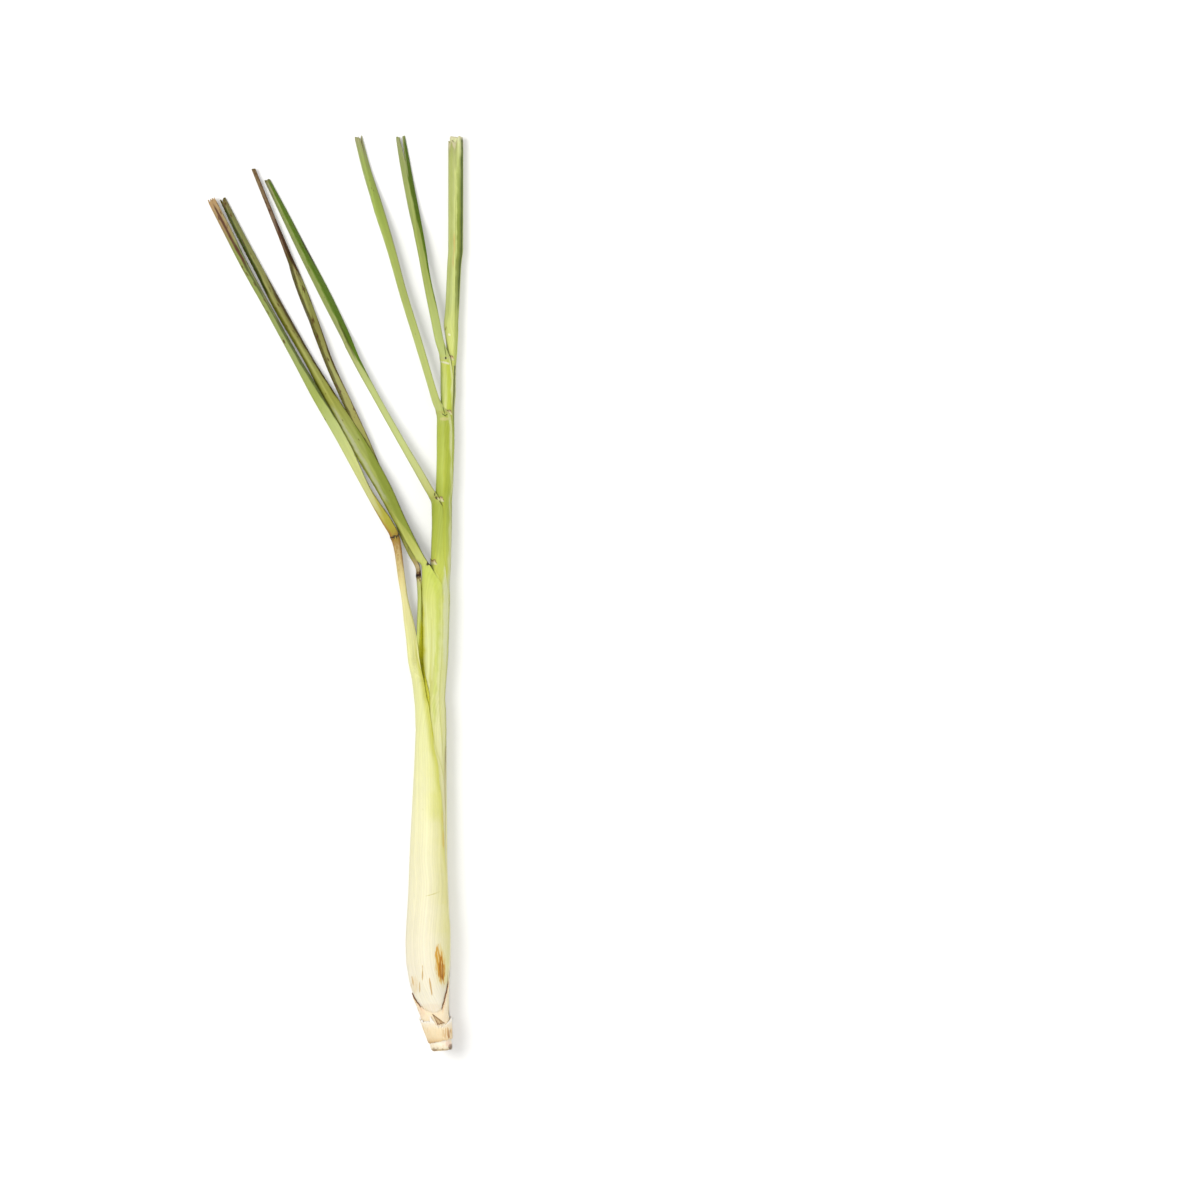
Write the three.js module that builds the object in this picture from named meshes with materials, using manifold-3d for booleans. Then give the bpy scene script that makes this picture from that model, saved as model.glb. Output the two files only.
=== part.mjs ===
// A lemongrass stalk lying on its side: a swollen pale base wrapped in leaf sheaths,
// a stem that thins as one leaf after another leaves it, and seven narrow blades.
// It grew as one piece, so every sheath and blade is fused into one solid.
// Millimetres. X runs across the stalk, Y from the root end to the leaf tips, Z up.
// The origin is the middle of the flat spot under the bulb that the stalk lies on.
import * as THREE from 'three';
import { mergeVertices } from 'three/addons/utils/BufferGeometryUtils.js';
import Module from 'manifold-3d';

const BLADE_WALL = 0.6; // blade thickness
const SINK = 0.35; // how deep each sheath is sunk into what it wraps
const FLOOR_Z = 0; // the plane the stalk lies on
const TIDY = 0.004; // slivers thinner than this are merged away

// The stem's axis and its nest of sheaths: y, axis x, axis z, radius of leaf 1, step to the next leaf.
const STEM = [
  [-54, 5.9, 11.2, 5.6, 0.98],
  [-44, 3.75, 10.95, 5.9, 0.98],
  [-38, 2.5, 10.8, 5.95, 0.98],
  [-33, 1.2, 10.55, 6.5, 0.99],
  [-28, 0.25, 10.3, 7.45, 1.0],
  [-23, -0.41, 10.05, 8.6, 1.04],
  [-18, -0.72, 9.85, 9.25, 1.06],
  [-12, -1.05, 9.69, 9.87, 1.08],
  [-3, -1.16, 9.69, 10.08, 1.12],
  [4, -1.1, 9.62, 9.8, 1.13],
  [12, -1.25, 9.55, 9.15, 1.06],
  [22, -1.3, 9.38, 8.6, 1.0],
  [38, -1.2, 9.1, 8.1, 0.95],
  [60, -0.75, 8.7, 7.42, 0.91],
  [86, 0.2, 8.25, 7.1, 0.9],
  [104, 1.15, 7.95, 7.25, 0.9],
  [117, 2.0, 7.75, 7.3, 0.92],
  [131, 2.8, 7.5, 7.35, 0.92],
  [145, 3.35, 7.25, 7.38, 0.92],
  [155, 3.75, 7.1, 7.38, 0.92],
  [163, 4.35, 6.95, 7.4, 0.92],
  [171, 4.95, 6.82, 7.42, 0.92],
  [190, 5.45, 6.5, 7.36, 0.91],
  [200, 6.1, 6.33, 7.5, 0.91],
  [207, 6.65, 6.2, 7.6, 0.91],
  [222, 7.1, 5.95, 7.7, 0.91],
  [232, 7.3, 5.78, 7.82, 0.91],
  [240, 7.75, 5.63, 7.95, 0.91],
  [247, 8.3, 5.5, 7.9, 0.9],
  [255, 8.85, 5.37, 7.85, 0.91],
  [262, 9.5, 5.25, 7.92, 0.92],
  [270, 10.05, 5.1, 8.1, 0.93],
  [280, 10.3, 4.9, 8.45, 0.93],
  [290, 10.6, 4.72, 8.7, 0.93],
  [303, 11.1, 4.48, 8.85, 0.93],
  [320, 11.6, 4.2, 8.9, 0.93],
  [345, 11.72, 3.78, 8.9, 0.93],
  [368, 11.75, 3.42, 8.9, 0.93],
];

// Each leaf. across: points over its width. crease: radius of the blade's fold.
// levels: where its sheath has sections. split: y, azimuths of its front and back margins
// (0 is +X, 90 straight up). own: y, centre x, centre z, radius, wall where it parts from the nest.
// blade: x and y of the band seen from above, height clear of the floor, band width, roll, half
// fold angle. Rolled 0 the fold opens towards +X, rolled -90 its keel is on top.
const LEAVES = {
  leaf_1: {
    across: 21,
    crease: 0.7,
    levels: [
      -38, -30, -23, -18, -12, -3, 4, 12, 22, 38, 50, 64, 78, 86, 95, 104, 110, 117, 126, 136,
      145, 154, 163,
    ],
    split: [
      [-38, 0, 350], [22, 0, 350], [36, 22, 352], [50, 29, 354], [64, 41, 356], [71, 52, 356],
      [78, 58, 357], [86, 75, 352], [95, 88, 335], [104, 98, 290], [110, 98, 270], [117, 96, 264],
      [126, 89, 271], [136, 83, 277], [145, 77, 283], [154, 84, 276], [163, 63, 297],
    ],
    own: [
      [95, 0.6, 8.1, 7.2, 1.2], [104, 0.4, 8, 7.3, 0.8], [110, -0.65, 7.9, 6.8, 0.65],
      [117, -2.08, 7.5, 6.2, 0.65], [126, -4.7, 6.9, 5.4, 0.65], [136, -6.54, 6.1, 4.5, 0.65],
      [145, -8.6, 5.3, 3.6, 0.65], [154, -10.4, 4.6, 2.7, 0.65], [163, -12.5, 3.9, 2.2, 0.6],
    ],
    blade: [
      [-14.72, 177.1, 1.6, 3.68, 0, 15], [-16.01, 183.08, 1.4, 4.14, 0, 15],
      [-19.5, 190.9, 1.2, 4.51, 0, 15], [-28.24, 204.7, 1, 4.14, 0, 16],
      [-39.42, 225.4, 0.9, 3.77, -2, 16], [-51.29, 246.1, 0.7, 3.5, -2, 16],
      [-62.79, 266.8, 0.5, 3.5, -2, 16], [-74.06, 287.5, 0.4, 3.22, -4, 16],
      [-85.56, 308.2, 0.3, 3.22, -8, 16], [-94.07, 325.22, 0.2, 3.22, -14, 17],
      [-101.11, 339.25, 0, 3.13, -24, 22],
    ],
  },
  leaf_2: {
    across: 13,
    crease: 0.7,
    levels: [60, 70, 78, 86, 95, 104, 111, 117, 126, 136, 145, 154, 163],
    split: [
      [60, 20, 357], [70, 25, 357], [78, 39, 352], [86, 64, 345], [104, 95, 320], [117, 108, 285],
      [126, 107, 253], [136, 114, 246], [145, 115, 245], [154, 118, 242], [163, 108, 252],
    ],
    own: [
      [104, 1.1, 7.95, 6.4, 1.1], [117, 0.1, 7.8, 6.1, 0.7], [126, -1.4, 7.5, 5, 0.65],
      [136, -2, 6.9, 4.2, 0.65], [145, -2.1, 6.2, 3.9, 0.65], [154, -2.3, 5.4, 3.5, 0.65],
      [163, -3.2, 4.6, 3, 0.6],
    ],
    blade: [
      [-5.61, 169.74, 1.4, 2.39, 0, 18], [-8.74, 175.26, 0.8, 2.76, 0, 16],
      [-13.11, 185.38, 0.5, 3.04, 0, 15], [-19.78, 203.78, 0.4, 3.22, 0, 15],
      [-28.52, 224.94, 0.4, 3.31, -4, 15], [-39.1, 246.1, 0.4, 3.4, -10, 15],
      [-46.46, 263.58, 0.4, 3.31, -24, 16], [-52.21, 278.76, 0.4, 3.13, -64, 24],
      [-58.42, 294.4, 0.3, 3.22, -88, 30], [-64.63, 311.42, 0.3, 2.3, -70, 22],
      [-72.68, 331.2, 0.3, 1.75, -40, 16], [-81.47, 353.05, 0.3, 1.66, -20, 16],
    ],
  },
  leaf_3: {
    across: 17,
    crease: 0.8,
    levels: [60, 78, 90, 104, 117, 131, 145, 155, 160, 164, 168, 171],
    split: [
      [60, 20, 357], [90, 45, 357], [104, 58, 356], [131, 64, 355], [145, 66, 355], [155, 69, 352],
      [160, 74, 335], [164, 88, 305], [168, 109, 268], [171, 118, 244],
    ],
    own: [
      [117, 1.9, 7.75, 5.6, 1.25], [131, 2.6, 7.5, 5.87, 1.6], [145, 2.7, 7.3, 6.15, 1.9],
      [155, 2.75, 7.1, 6.4, 2.2], [163, 2.85, 6.95, 6.6, 1.3], [171, 2.9, 6.85, 6.6, 0.65],
    ],
    blade: [
      [-4.23, 172.96, 4.2, 4.42, -18, 26], [-7.54, 178.94, 4.2, 4.78, -44, 34],
      [-13.71, 190.9, 4.2, 5.24, -66, 44], [-21.39, 204.7, 4.2, 6.44, -82, 58],
      [-31.05, 221.26, 3.8, 7.36, -90, 70], [-46.23, 246.1, 2.2, 6.16, -90, 58],
      [-57.73, 266.8, 1, 4.6, -88, 38], [-69.46, 287.5, 0.6, 4.32, -86, 34],
      [-80.27, 308.2, 0.4, 3.13, -84, 28], [-89.01, 325.22, 0.3, 2.67, -82, 26],
      [-95.91, 339.25, 0.2, 2.58, -84, 28],
    ],
  },
  leaf_4: {
    across: 15,
    crease: 0.7,
    levels: [60, 90, 117, 131, 145, 155, 163, 171, 180, 190, 196, 200],
    split: [
      [60, 20, 357], [131, 25, 370], [155, 30, 375], [163, 45, 375], [171, 66, 375],
      [180, 80, 372], [190, 82, 365], [196, 84, 340], [200, 95, 250],
    ],
    own: [
      [180, 5.2, 6.65, 4.68, 1.5], [190, 5.45, 6.5, 4.65, 1.6], [196, 5.45, 6.4, 4.75, 1],
      [200, 5.35, 6.33, 4.75, 0.65],
    ],
    blade: [
      [-0.37, 204.93, 4.6, 3.96, -2, 16], [-4.14, 211.6, 4.2, 3.86, -2, 15],
      [-12.19, 225.4, 3.2, 3.5, -4, 15], [-23.92, 246.1, 2, 3.31, -8, 15],
      [-33.58, 264.04, 1, 3.59, -26, 20], [-40.02, 277.38, 0.4, 3.96, -78, 32],
      [-48.3, 294.4, 0.3, 4.6, -90, 36], [-58.88, 315.1, 0.2, 3.96, -90, 34],
      [-67.62, 332.58, 0.1, 3.04, -88, 30], [-75.35, 347.99, 0.1, 2.3, -84, 26],
    ],
  },
  leaf_5: {
    across: 13,
    crease: 0.7,
    levels: [60, 90, 131, 155, 171, 190, 200, 207, 215, 222, 228, 232, 236, 240],
    split: [
      [60, 25, 370], [171, 30, 375], [190, 36, 375], [205, 38, 375], [222, 38, 360],
      [232, 42, 300], [236, 50, 260], [240, 60, 225],
    ],
    own: [
      [222, 7.1, 5.95, 4.1, 1.26], [232, 7.25, 5.8, 4.2, 1.4], [240, 7.3, 5.65, 4.2, 0.65],
    ],
    blade: [
      [3.31, 244.26, 5.2, 3.96, -24, 16], [0.69, 253, 4.9, 3.68, -14, 15],
      [-5.52, 273.7, 4, 3.86, -6, 15], [-11.96, 294.4, 2.8, 3.86, -10, 16],
      [-17.71, 315.1, 1.6, 3.96, -26, 20], [-24.15, 335.8, 0.7, 4.32, -64, 28],
      [-29.44, 352.82, 0.3, 3.77, -84, 32], [-33.21, 368, 0.1, 3.5, -88, 32],
    ],
  },
  leaf_6: {
    across: 13,
    crease: 0.7,
    levels: [155, 190, 207, 222, 232, 240, 247, 255, 259, 262, 265],
    split: [
      [155, 30, 370], [222, 45, 372], [240, 54, 365], [247, 56, 350], [255, 58, 300],
      [262, 66, 250], [265, 72, 225],
    ],
    own: [
      [247, 8.35, 5.5, 3.5, 1.2], [255, 8.4, 5.4, 3.6, 1.2], [262, 8.4, 5.3, 3.68, 0.8],
      [265, 8.4, 5.25, 3.7, 0.65],
    ],
    blade: [
      [4.55, 272.78, 4.9, 4.14, -24, 18], [1.84, 286.58, 4.2, 4.32, -14, 18],
      [-1.29, 301.3, 3.2, 3.96, -24, 18], [-4.46, 318.78, 1.8, 3.86, -54, 26],
      [-8.05, 335.8, 0.8, 4.6, -84, 38], [-11.5, 354.2, 0.3, 4.78, -90, 42],
      [-13.89, 368, 0.1, 4.69, -90, 44],
    ],
  },
  leaf_7: {
    across: 15,
    crease: 0.7,
    levels: [222, 240, 255, 262, 270, 276, 280.6, 287.5, 298, 308, 315, 325, 345, 366.3],
    split: [
      [222, 40, 370], [255, 60, 380], [270, 70, 385], [276, 85, 400], [290, 97, 405],
      [303, 103, 407], [368, 103, 407],
    ],
    own: [
      [262, 9.5, 5.25, 2.4, 1.2], [270, 10.05, 5.1, 2.52, 1.1], [276, 9.9, 5, 3, 0.9],
      [280.6, 9.6, 4.9, 3.33, 0.7], [287.5, 10.1, 4.75, 3.2, 0.65], [298, 10.6, 4.55, 3.2, 0.65],
      [308, 11.05, 4.4, 3.25, 0.65], [316, 11.7, 4.25, 3.42, 0.65], [345, 11.75, 3.78, 3.45, 0.65],
      [368, 11.75, 3.42, 3.45, 0.65],
    ],
    blade: [],
  },
};

// The solid middle: the culm from its cut root end, and the rolled heart leaf at the top.
// y, radius, height of the heart leaf's midrib above that radius.
const CORE = [
  [-52.7, 4.45, 0],
  [-52.1, 4.85, 0],
  [-49.2, 5.1, 0],
  [-44, 5.1, 0],
  [-38, 5.2, 0],
  [-33, 5.6, 0],
  [-28, 6.5, 0],
  [-18, 8.2, 0],
  [-3, 9.0, 0],
  [12, 8.2, 0],
  [38, 7.0, 0],
  [60, 6.1, 0],
  [80, 3.6, 0],
  [131, 3.2, 0],
  [171, 2.9, 0],
  [200, 2.5, 0],
  [222, 2.2, 0],
  [247, 2.0, 0],
  [276, 2.0, 0],
  [290, 2.1, 0.15],
  [308, 2.25, 0.3],
  [345, 2.3, 0.35],
  [366.8, 2.3, 0.35],
  [367.5, 2.0, 0.3],
];
const CORE_SIDES = 16;
const MIDRIB = 55; // azimuth of the heart leaf's midrib
const CUT_SLANT = 0.09; // how far the root cut leans off square, mm per mm across

// The oldest sheath, torn down to a cup with a strip up the right side: azimuth, y of its torn edge.
const TORN = {
  foot: -41.6,
  rise: 0.75, // how far it stands off leaf 1
  steps: 12,
  edge: [
    [8, 86.4], [12, -20.5], [22, -24], [35, -27.5], [52, -31.4], [70, -33.4], [88, -34.6],
    [104, -34.2], [120, -33.1], [138, -31.6], [155, -29.6], [170, -27.8], [184, -26.8],
    [204, -26.4], [228, -26], [252, -26.6], [276, -26], [296, -24.4], [312, -18], [319, 61],
    [332, 82], [346, 87], [358, 85.6],
  ],
};

// The husk ring, a stub of an older sheath: azimuth, height of its torn rim along y.
const HUSK = {
  wall: 0.75,
  foot: [-48.4, 5.8],
  head: [-38.6, 7.45],
  root: 4.2,
  slant: 1.1,
  rim: [
    [0, -37.4], [20, -36.4], [40, -39.3], [58, -40.6], [75, -40.2], [88, -37.4], [96, -36.4],
    [106, -38.2], [122, -38.8], [140, -39.8], [160, -38.8], [180, -38.4], [205, -39.4],
    [230, -38.5], [255, -39.6], [280, -38.6], [305, -39.5], [330, -38.4], [345, -37.6],
  ],
};

const DEG = Math.PI / 180;
const COLOUR = 0xcdd58c; // pale yellow green

// Monotone cubic interpolation of column col of rows sorted by their first column.
function curve(rows, col, at) {
  const n = rows.length;
  if (at <= rows[0][0]) return rows[0][col];
  if (at >= rows[n - 1][0]) return rows[n - 1][col];
  const secant = (k) => (rows[k + 1][col] - rows[k][col]) / (rows[k + 1][0] - rows[k][0]);
  const slope = (k) => {
    if (k === 0) return secant(0);
    if (k === n - 1) return secant(n - 2);
    const a = secant(k - 1);
    const b = secant(k);
    return a * b <= 0 ? 0 : (2 * a * b) / (a + b);
  };
  let k = 0;
  while (rows[k + 1][0] < at) k += 1;
  const h = rows[k + 1][0] - rows[k][0];
  const s = (at - rows[k][0]) / h;
  const h00 = (1 + 2 * s) * (1 - s) * (1 - s);
  const h10 = s * (1 - s) * (1 - s);
  const h01 = s * s * (3 - 2 * s);
  const h11 = s * s * (s - 1);
  return (
    h00 * rows[k][col] + h10 * h * slope(k) + h01 * rows[k + 1][col] + h11 * h * slope(k + 1)
  );
}

const axisX = (y) => curve(STEM, 1, y);
const axisZ = (y) => curve(STEM, 2, y);
const nestRadius = (i, y) => curve(STEM, 3, y) - (i - 1) * curve(STEM, 4, y);

// A cross-section's middle line: an arc of radius r from the keel, then a straight arm.
// Returns [towards the opening, sideways, direction angle] at arc length s.
function profile(section, s) {
  const a = Math.abs(s);
  const side = Math.sign(s);
  const turn = Math.min(a / section.r, section.turn);
  const straight = Math.max(0, a - section.r * section.turn);
  const open = section.r * (1 - Math.cos(turn)) + straight * Math.sin(section.turn);
  const across = section.r * Math.sin(turn) + straight * Math.cos(section.turn);
  return [open, side * across, side * turn];
}

// A sheath section, square to Y.
function sheathSection(y, cx, cz, radius, front, back, wall) {
  const keel = ((front + back) / 2) * DEG;
  const half = ((back - front) / 2) * DEG;
  const r = radius - wall / 2;
  return {
    origin: new THREE.Vector3(cx + r * Math.cos(keel), y, cz + r * Math.sin(keel)),
    tangent: new THREE.Vector3(0, 1, 0),
    roll: keel - Math.PI,
    r,
    turn: half,
    width: r * half,
    wall,
  };
}

// How far a section reaches across its band seen from above, and its lowest height.
function reach(section) {
  const c = Math.cos(section.roll);
  const s = Math.sin(section.roll);
  let left = 0;
  let right = 0;
  let low = 0;
  for (let k = -8; k <= 8; k += 1) {
    const [open, across] = profile(section, (section.width * k) / 8);
    left = Math.min(left, open * c + across * s);
    right = Math.max(right, open * c + across * s);
    low = Math.min(low, open * s - across * c);
  }
  const rim = section.wall / 2;
  return [left - rim, right + rim, low - rim];
}

// A blade section whose band, seen from above, is centred on x, y and as wide as band.
function bladeSection(row, tangent, creaseRadius) {
  const [x, y, clear, band, roll, fold] = row;
  const section = {
    origin: new THREE.Vector3(x, y, clear),
    tangent,
    roll: roll * DEG,
    r: creaseRadius,
    turn: (90 - fold) * DEG,
    width: 4,
    wall: BLADE_WALL,
  };
  let small = 0.7;
  let large = 9;
  for (let k = 0; k < 24; k += 1) {
    section.width = (small + large) / 2;
    const [left, right] = reach(section);
    if (right - left > band) large = section.width;
    else small = section.width;
  }
  const [left, right, low] = reach(section);
  const across = new THREE.Vector3(tangent.y, -tangent.x, 0).normalize();
  section.origin.addScaledVector(across, -(left + right) / 2);
  section.origin.z -= low;
  return section;
}

// A closed shell through the sections, across points over each.
function shell(sections, across) {
  const points = [];
  const index = [];
  const ring = 2 * across;
  for (const section of sections) {
    const t = section.tangent;
    const right = new THREE.Vector3(t.y, -t.x, 0).normalize();
    const up = new THREE.Vector3().crossVectors(right, t).normalize();
    const open = right
      .clone()
      .multiplyScalar(Math.cos(section.roll))
      .addScaledVector(up, Math.sin(section.roll));
    const side = new THREE.Vector3().crossVectors(t, open);
    const walls = [-1, 1].map((sign) => {
      const row = [];
      for (let k = 0; k < across; k += 1) {
        const s = section.width * ((2 * k) / (across - 1) - 1);
        const [a, b, direction] = profile(section, s);
        const offset = (sign * section.wall) / 2;
        const p = section.origin
          .clone()
          .addScaledVector(open, a + offset * Math.cos(direction))
          .addScaledVector(side, b - offset * Math.sin(direction));
        p.z = Math.max(p.z, FLOOR_Z);
        row.push(p);
      }
      return row;
    });
    points.push(...walls[0], ...walls[1].reverse());
  }
  const last = (sections.length - 1) * ring;
  for (let k = 0; k < sections.length - 1; k += 1) {
    for (let j = 0; j < ring; j += 1) {
      const a = k * ring + j;
      const b = k * ring + ((j + 1) % ring);
      index.push(a, b + ring, b, a, a + ring, b + ring);
    }
  }
  for (let j = 0; j < across - 1; j += 1) {
    const twin = ring - 1 - j;
    index.push(j, j + 1, twin - 1, j, twin - 1, twin);
    index.push(last + j, last + twin - 1, last + j + 1, last + j, last + twin, last + twin - 1);
  }
  return solid(points, index);
}

function solid(points, index) {
  const geometry = new THREE.BufferGeometry();
  geometry.setAttribute(
    'position',
    new THREE.Float32BufferAttribute(points.flatMap((p) => [p.x, p.y, p.z]), 3),
  );
  geometry.setIndex(index);
  geometry.computeVertexNormals();
  return geometry;
}

// A leaf: its sheath up to the collar, then its blade.
function leaf(number, spec) {
  const start = spec.own[0][0];
  const sections = spec.levels.map((y) => {
    const own = y >= start;
    const at = (col, nested) => (own ? curve(spec.own, col, y) : nested);
    return sheathSection(
      y,
      at(1, axisX(y)),
      at(2, axisZ(y)),
      at(3, nestRadius(number, y)),
      curve(spec.split, 1, y),
      curve(spec.split, 2, y),
      at(4, curve(STEM, 4, y) + SINK),
    );
  });
  spec.blade.forEach((row, k) => {
    const before = spec.blade[Math.max(0, k - 1)];
    const after = spec.blade[Math.min(spec.blade.length - 1, k + 1)];
    const tangent = new THREE.Vector3(
      after[0] - before[0],
      after[1] - before[1],
      after[2] - before[2],
    ).normalize();
    sections.push(bladeSection(row, tangent, spec.crease));
  });
  return shell(sections, spec.across);
}

function ringPoint(y, radius, azimuth) {
  const a = azimuth * DEG;
  return new THREE.Vector3(axisX(y) + radius * Math.cos(a), y, axisZ(y) + radius * Math.sin(a));
}

// A closed ring: columns of points, each going up the outside and back down the inside.
function ring(columns) {
  const points = columns.flat();
  const index = [];
  const size = columns[0].length;
  for (let k = 0; k < columns.length; k += 1) {
    const here = k * size;
    const next = ((k + 1) % columns.length) * size;
    for (let j = 0; j < size; j += 1) {
      const m = (j + 1) % size;
      index.push(here + j, here + m, next + m, here + j, next + m, next + j);
    }
  }
  return solid(points, index);
}

function tornSheath() {
  return ring(
    TORN.edge.map(([azimuth, top]) => {
      const outside = [];
      for (let k = 0; k <= TORN.steps; k += 1) {
        const y = TORN.foot + ((top - TORN.foot) * k) / TORN.steps;
        outside.push([y, nestRadius(1, y) + TORN.rise]);
      }
      const inside = outside.map(([y, radius]) => [y, radius - TORN.rise - SINK]).reverse();
      return [...outside, ...inside].map(([y, radius]) => ringPoint(y, radius, azimuth));
    }),
  );
}

function huskRing() {
  const [footY, footRadius] = HUSK.foot;
  const [headY, headRadius] = HUSK.head;
  const radiusAt = (y) => footRadius + ((y - footY) / (headY - footY)) * (headRadius - footRadius);
  return ring(
    HUSK.rim.map(([azimuth, rimY]) => {
      const foot = footY + HUSK.slant * Math.cos(azimuth * DEG);
      return [
        ringPoint(foot, radiusAt(foot), azimuth),
        ringPoint(rimY, radiusAt(rimY), azimuth),
        ringPoint(rimY, radiusAt(rimY) - HUSK.wall, azimuth),
        ringPoint(foot, HUSK.root, azimuth),
      ];
    }),
  );
}

function core() {
  const points = [];
  const index = [];
  for (const [y, radius, ridge] of CORE) {
    for (let j = 0; j < CORE_SIDES; j += 1) {
      const azimuth = (360 * j) / CORE_SIDES;
      const near = Math.max(0, Math.cos((azimuth - MIDRIB) * DEG)) ** 12;
      const p = ringPoint(y, radius + ridge * near, azimuth);
      if (y < -50) p.y += CUT_SLANT * radius * Math.cos(azimuth * DEG);
      points.push(p);
    }
  }
  for (let k = 0; k < CORE.length - 1; k += 1) {
    for (let j = 0; j < CORE_SIDES; j += 1) {
      const a = k * CORE_SIDES + j;
      const b = k * CORE_SIDES + ((j + 1) % CORE_SIDES);
      index.push(a, b + CORE_SIDES, b, a, a + CORE_SIDES, b + CORE_SIDES);
    }
  }
  const top = (CORE.length - 1) * CORE_SIDES;
  for (let j = 1; j < CORE_SIDES - 1; j += 1) {
    index.push(0, j, j + 1, top, top + j + 1, top + j);
  }
  return solid(points, index);
}

// Everything is joined into one closed body.
const wasm = await Module();
wasm.setup();

function toManifold(geometry) {
  const mesh = new wasm.Mesh({
    numProp: 3,
    vertProperties: new Float32Array(geometry.getAttribute('position').array),
    triVerts: new Uint32Array(geometry.index.array),
  });
  mesh.merge();
  const made = new wasm.Manifold(mesh);
  if (made.volume() < 0) throw new Error('a piece is inside out');
  return made;
}

const pieces = [core(), huskRing(), tornSheath()];
Object.values(LEAVES).forEach((spec, k) => pieces.push(leaf(k + 1, spec)));
const joined = wasm.Manifold.union(pieces.map(toManifold)).simplify(TIDY).getMesh();

// Pockets sealed inside are filled: only the triangles of the outer skin are kept.
function outerSkin(mesh) {
  const { triVerts, vertProperties, numProp, numVert } = mesh;
  const parent = Array.from({ length: numVert }, (_, k) => k);
  const find = (v) => {
    let root = v;
    while (parent[root] !== root) root = parent[root];
    parent[v] = root;
    return root;
  };
  for (let k = 0; k < triVerts.length; k += 3) {
    parent[find(triVerts[k + 1])] = find(triVerts[k]);
    parent[find(triVerts[k + 2])] = find(triVerts[k]);
  }
  const counts = new Map();
  for (const v of triVerts) counts.set(find(v), (counts.get(find(v)) ?? 0) + 1);
  const biggest = [...counts].sort((a, b) => b[1] - a[1])[0][0];
  const index = Array.from(triVerts).filter((v) => find(v) === biggest);
  const points = [];
  for (let v = 0; v < numVert; v += 1) {
    const at = v * numProp;
    points.push(new THREE.Vector3(...vertProperties.slice(at, at + 3)));
  }
  const skin = solid(points, index).toNonIndexed();
  skin.deleteAttribute('normal');
  const merged = mergeVertices(skin, 1e-5);
  merged.computeVertexNormals();
  return merged;
}

const stalk = new THREE.Mesh(
  outerSkin(joined),
  new THREE.MeshStandardMaterial({ color: COLOUR, roughness: 0.6 }),
);
stalk.name = 'stalk';
const part = new THREE.Group();
part.name = 'lemongrass_stalk';
part.add(stalk);

export default part;
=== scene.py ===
# A lemongrass stalk lying on a pale floor, seen from straight above: a swollen creamy base in its
# leaf sheaths, a stem that thins as one leaf after another parts from it, and seven narrow blades.
# Lengths in the tables are millimetres: X across the stalk, Y from the root end to the tips, Z up.
# Azimuths are degrees round the stem: 0 is +X, 90 straight up.
import math

import bpy
import numpy as np
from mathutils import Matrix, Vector


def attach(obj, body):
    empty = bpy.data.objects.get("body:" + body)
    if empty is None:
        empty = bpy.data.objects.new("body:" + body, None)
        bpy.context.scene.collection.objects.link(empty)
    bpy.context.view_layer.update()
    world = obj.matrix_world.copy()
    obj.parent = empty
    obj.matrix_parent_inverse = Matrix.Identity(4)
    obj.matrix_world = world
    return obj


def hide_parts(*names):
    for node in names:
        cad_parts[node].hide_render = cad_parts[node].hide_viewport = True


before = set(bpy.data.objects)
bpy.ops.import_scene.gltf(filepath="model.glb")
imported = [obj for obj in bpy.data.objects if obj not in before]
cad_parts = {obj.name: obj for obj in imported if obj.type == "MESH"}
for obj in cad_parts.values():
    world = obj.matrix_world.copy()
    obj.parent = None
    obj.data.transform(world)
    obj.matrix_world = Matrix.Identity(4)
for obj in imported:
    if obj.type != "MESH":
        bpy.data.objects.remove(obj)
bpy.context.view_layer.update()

MM = 0.001
DEG = math.pi / 180
FLOOR_Z = 0.0

BLADE_WALL = 0.6
RIM_WALL = 0.28  # thickness at a blade's or a free sheath's margin
SHEATH_WALL = 0.9  # a free sheath is nowhere thicker
LEDGE = 0.09  # how far a sheath's thin margin stands off the sheath under it
SINK = 0.35  # how deep each sheath sits in what it wraps
GAP = 0.1  # what is left under a margin that lies on the next leaf
# how far in from the margin each of them reaches its full thickness
STEM_TAPER, FREE_TAPER, BLADE_TAPER = 3.6, 1.6, 0.9

FOLD_RADIUS = 0.7  # of a blade's crease
HALF_WIDTHS = 0.7, 9.0  # between these lies every blade's half width, unfolded
JOINT_REACH = 5.0  # along the leaf, where sheath and blade run into each other
COLLAR_SWELL, COLLAR_REACH = 0.3, 1.5
CUT_REACH = 40.0  # the stretch of a leaf over which its end's ragged length is taken up
CUT_SLANT = 0.09  # rise of the root's cut face per mm across it
BAND_SOFT, BAND_FADE = 0.07, 5.0  # edges of a long mark: shares across, mm along
BAND_SWAY = 0.035

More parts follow.
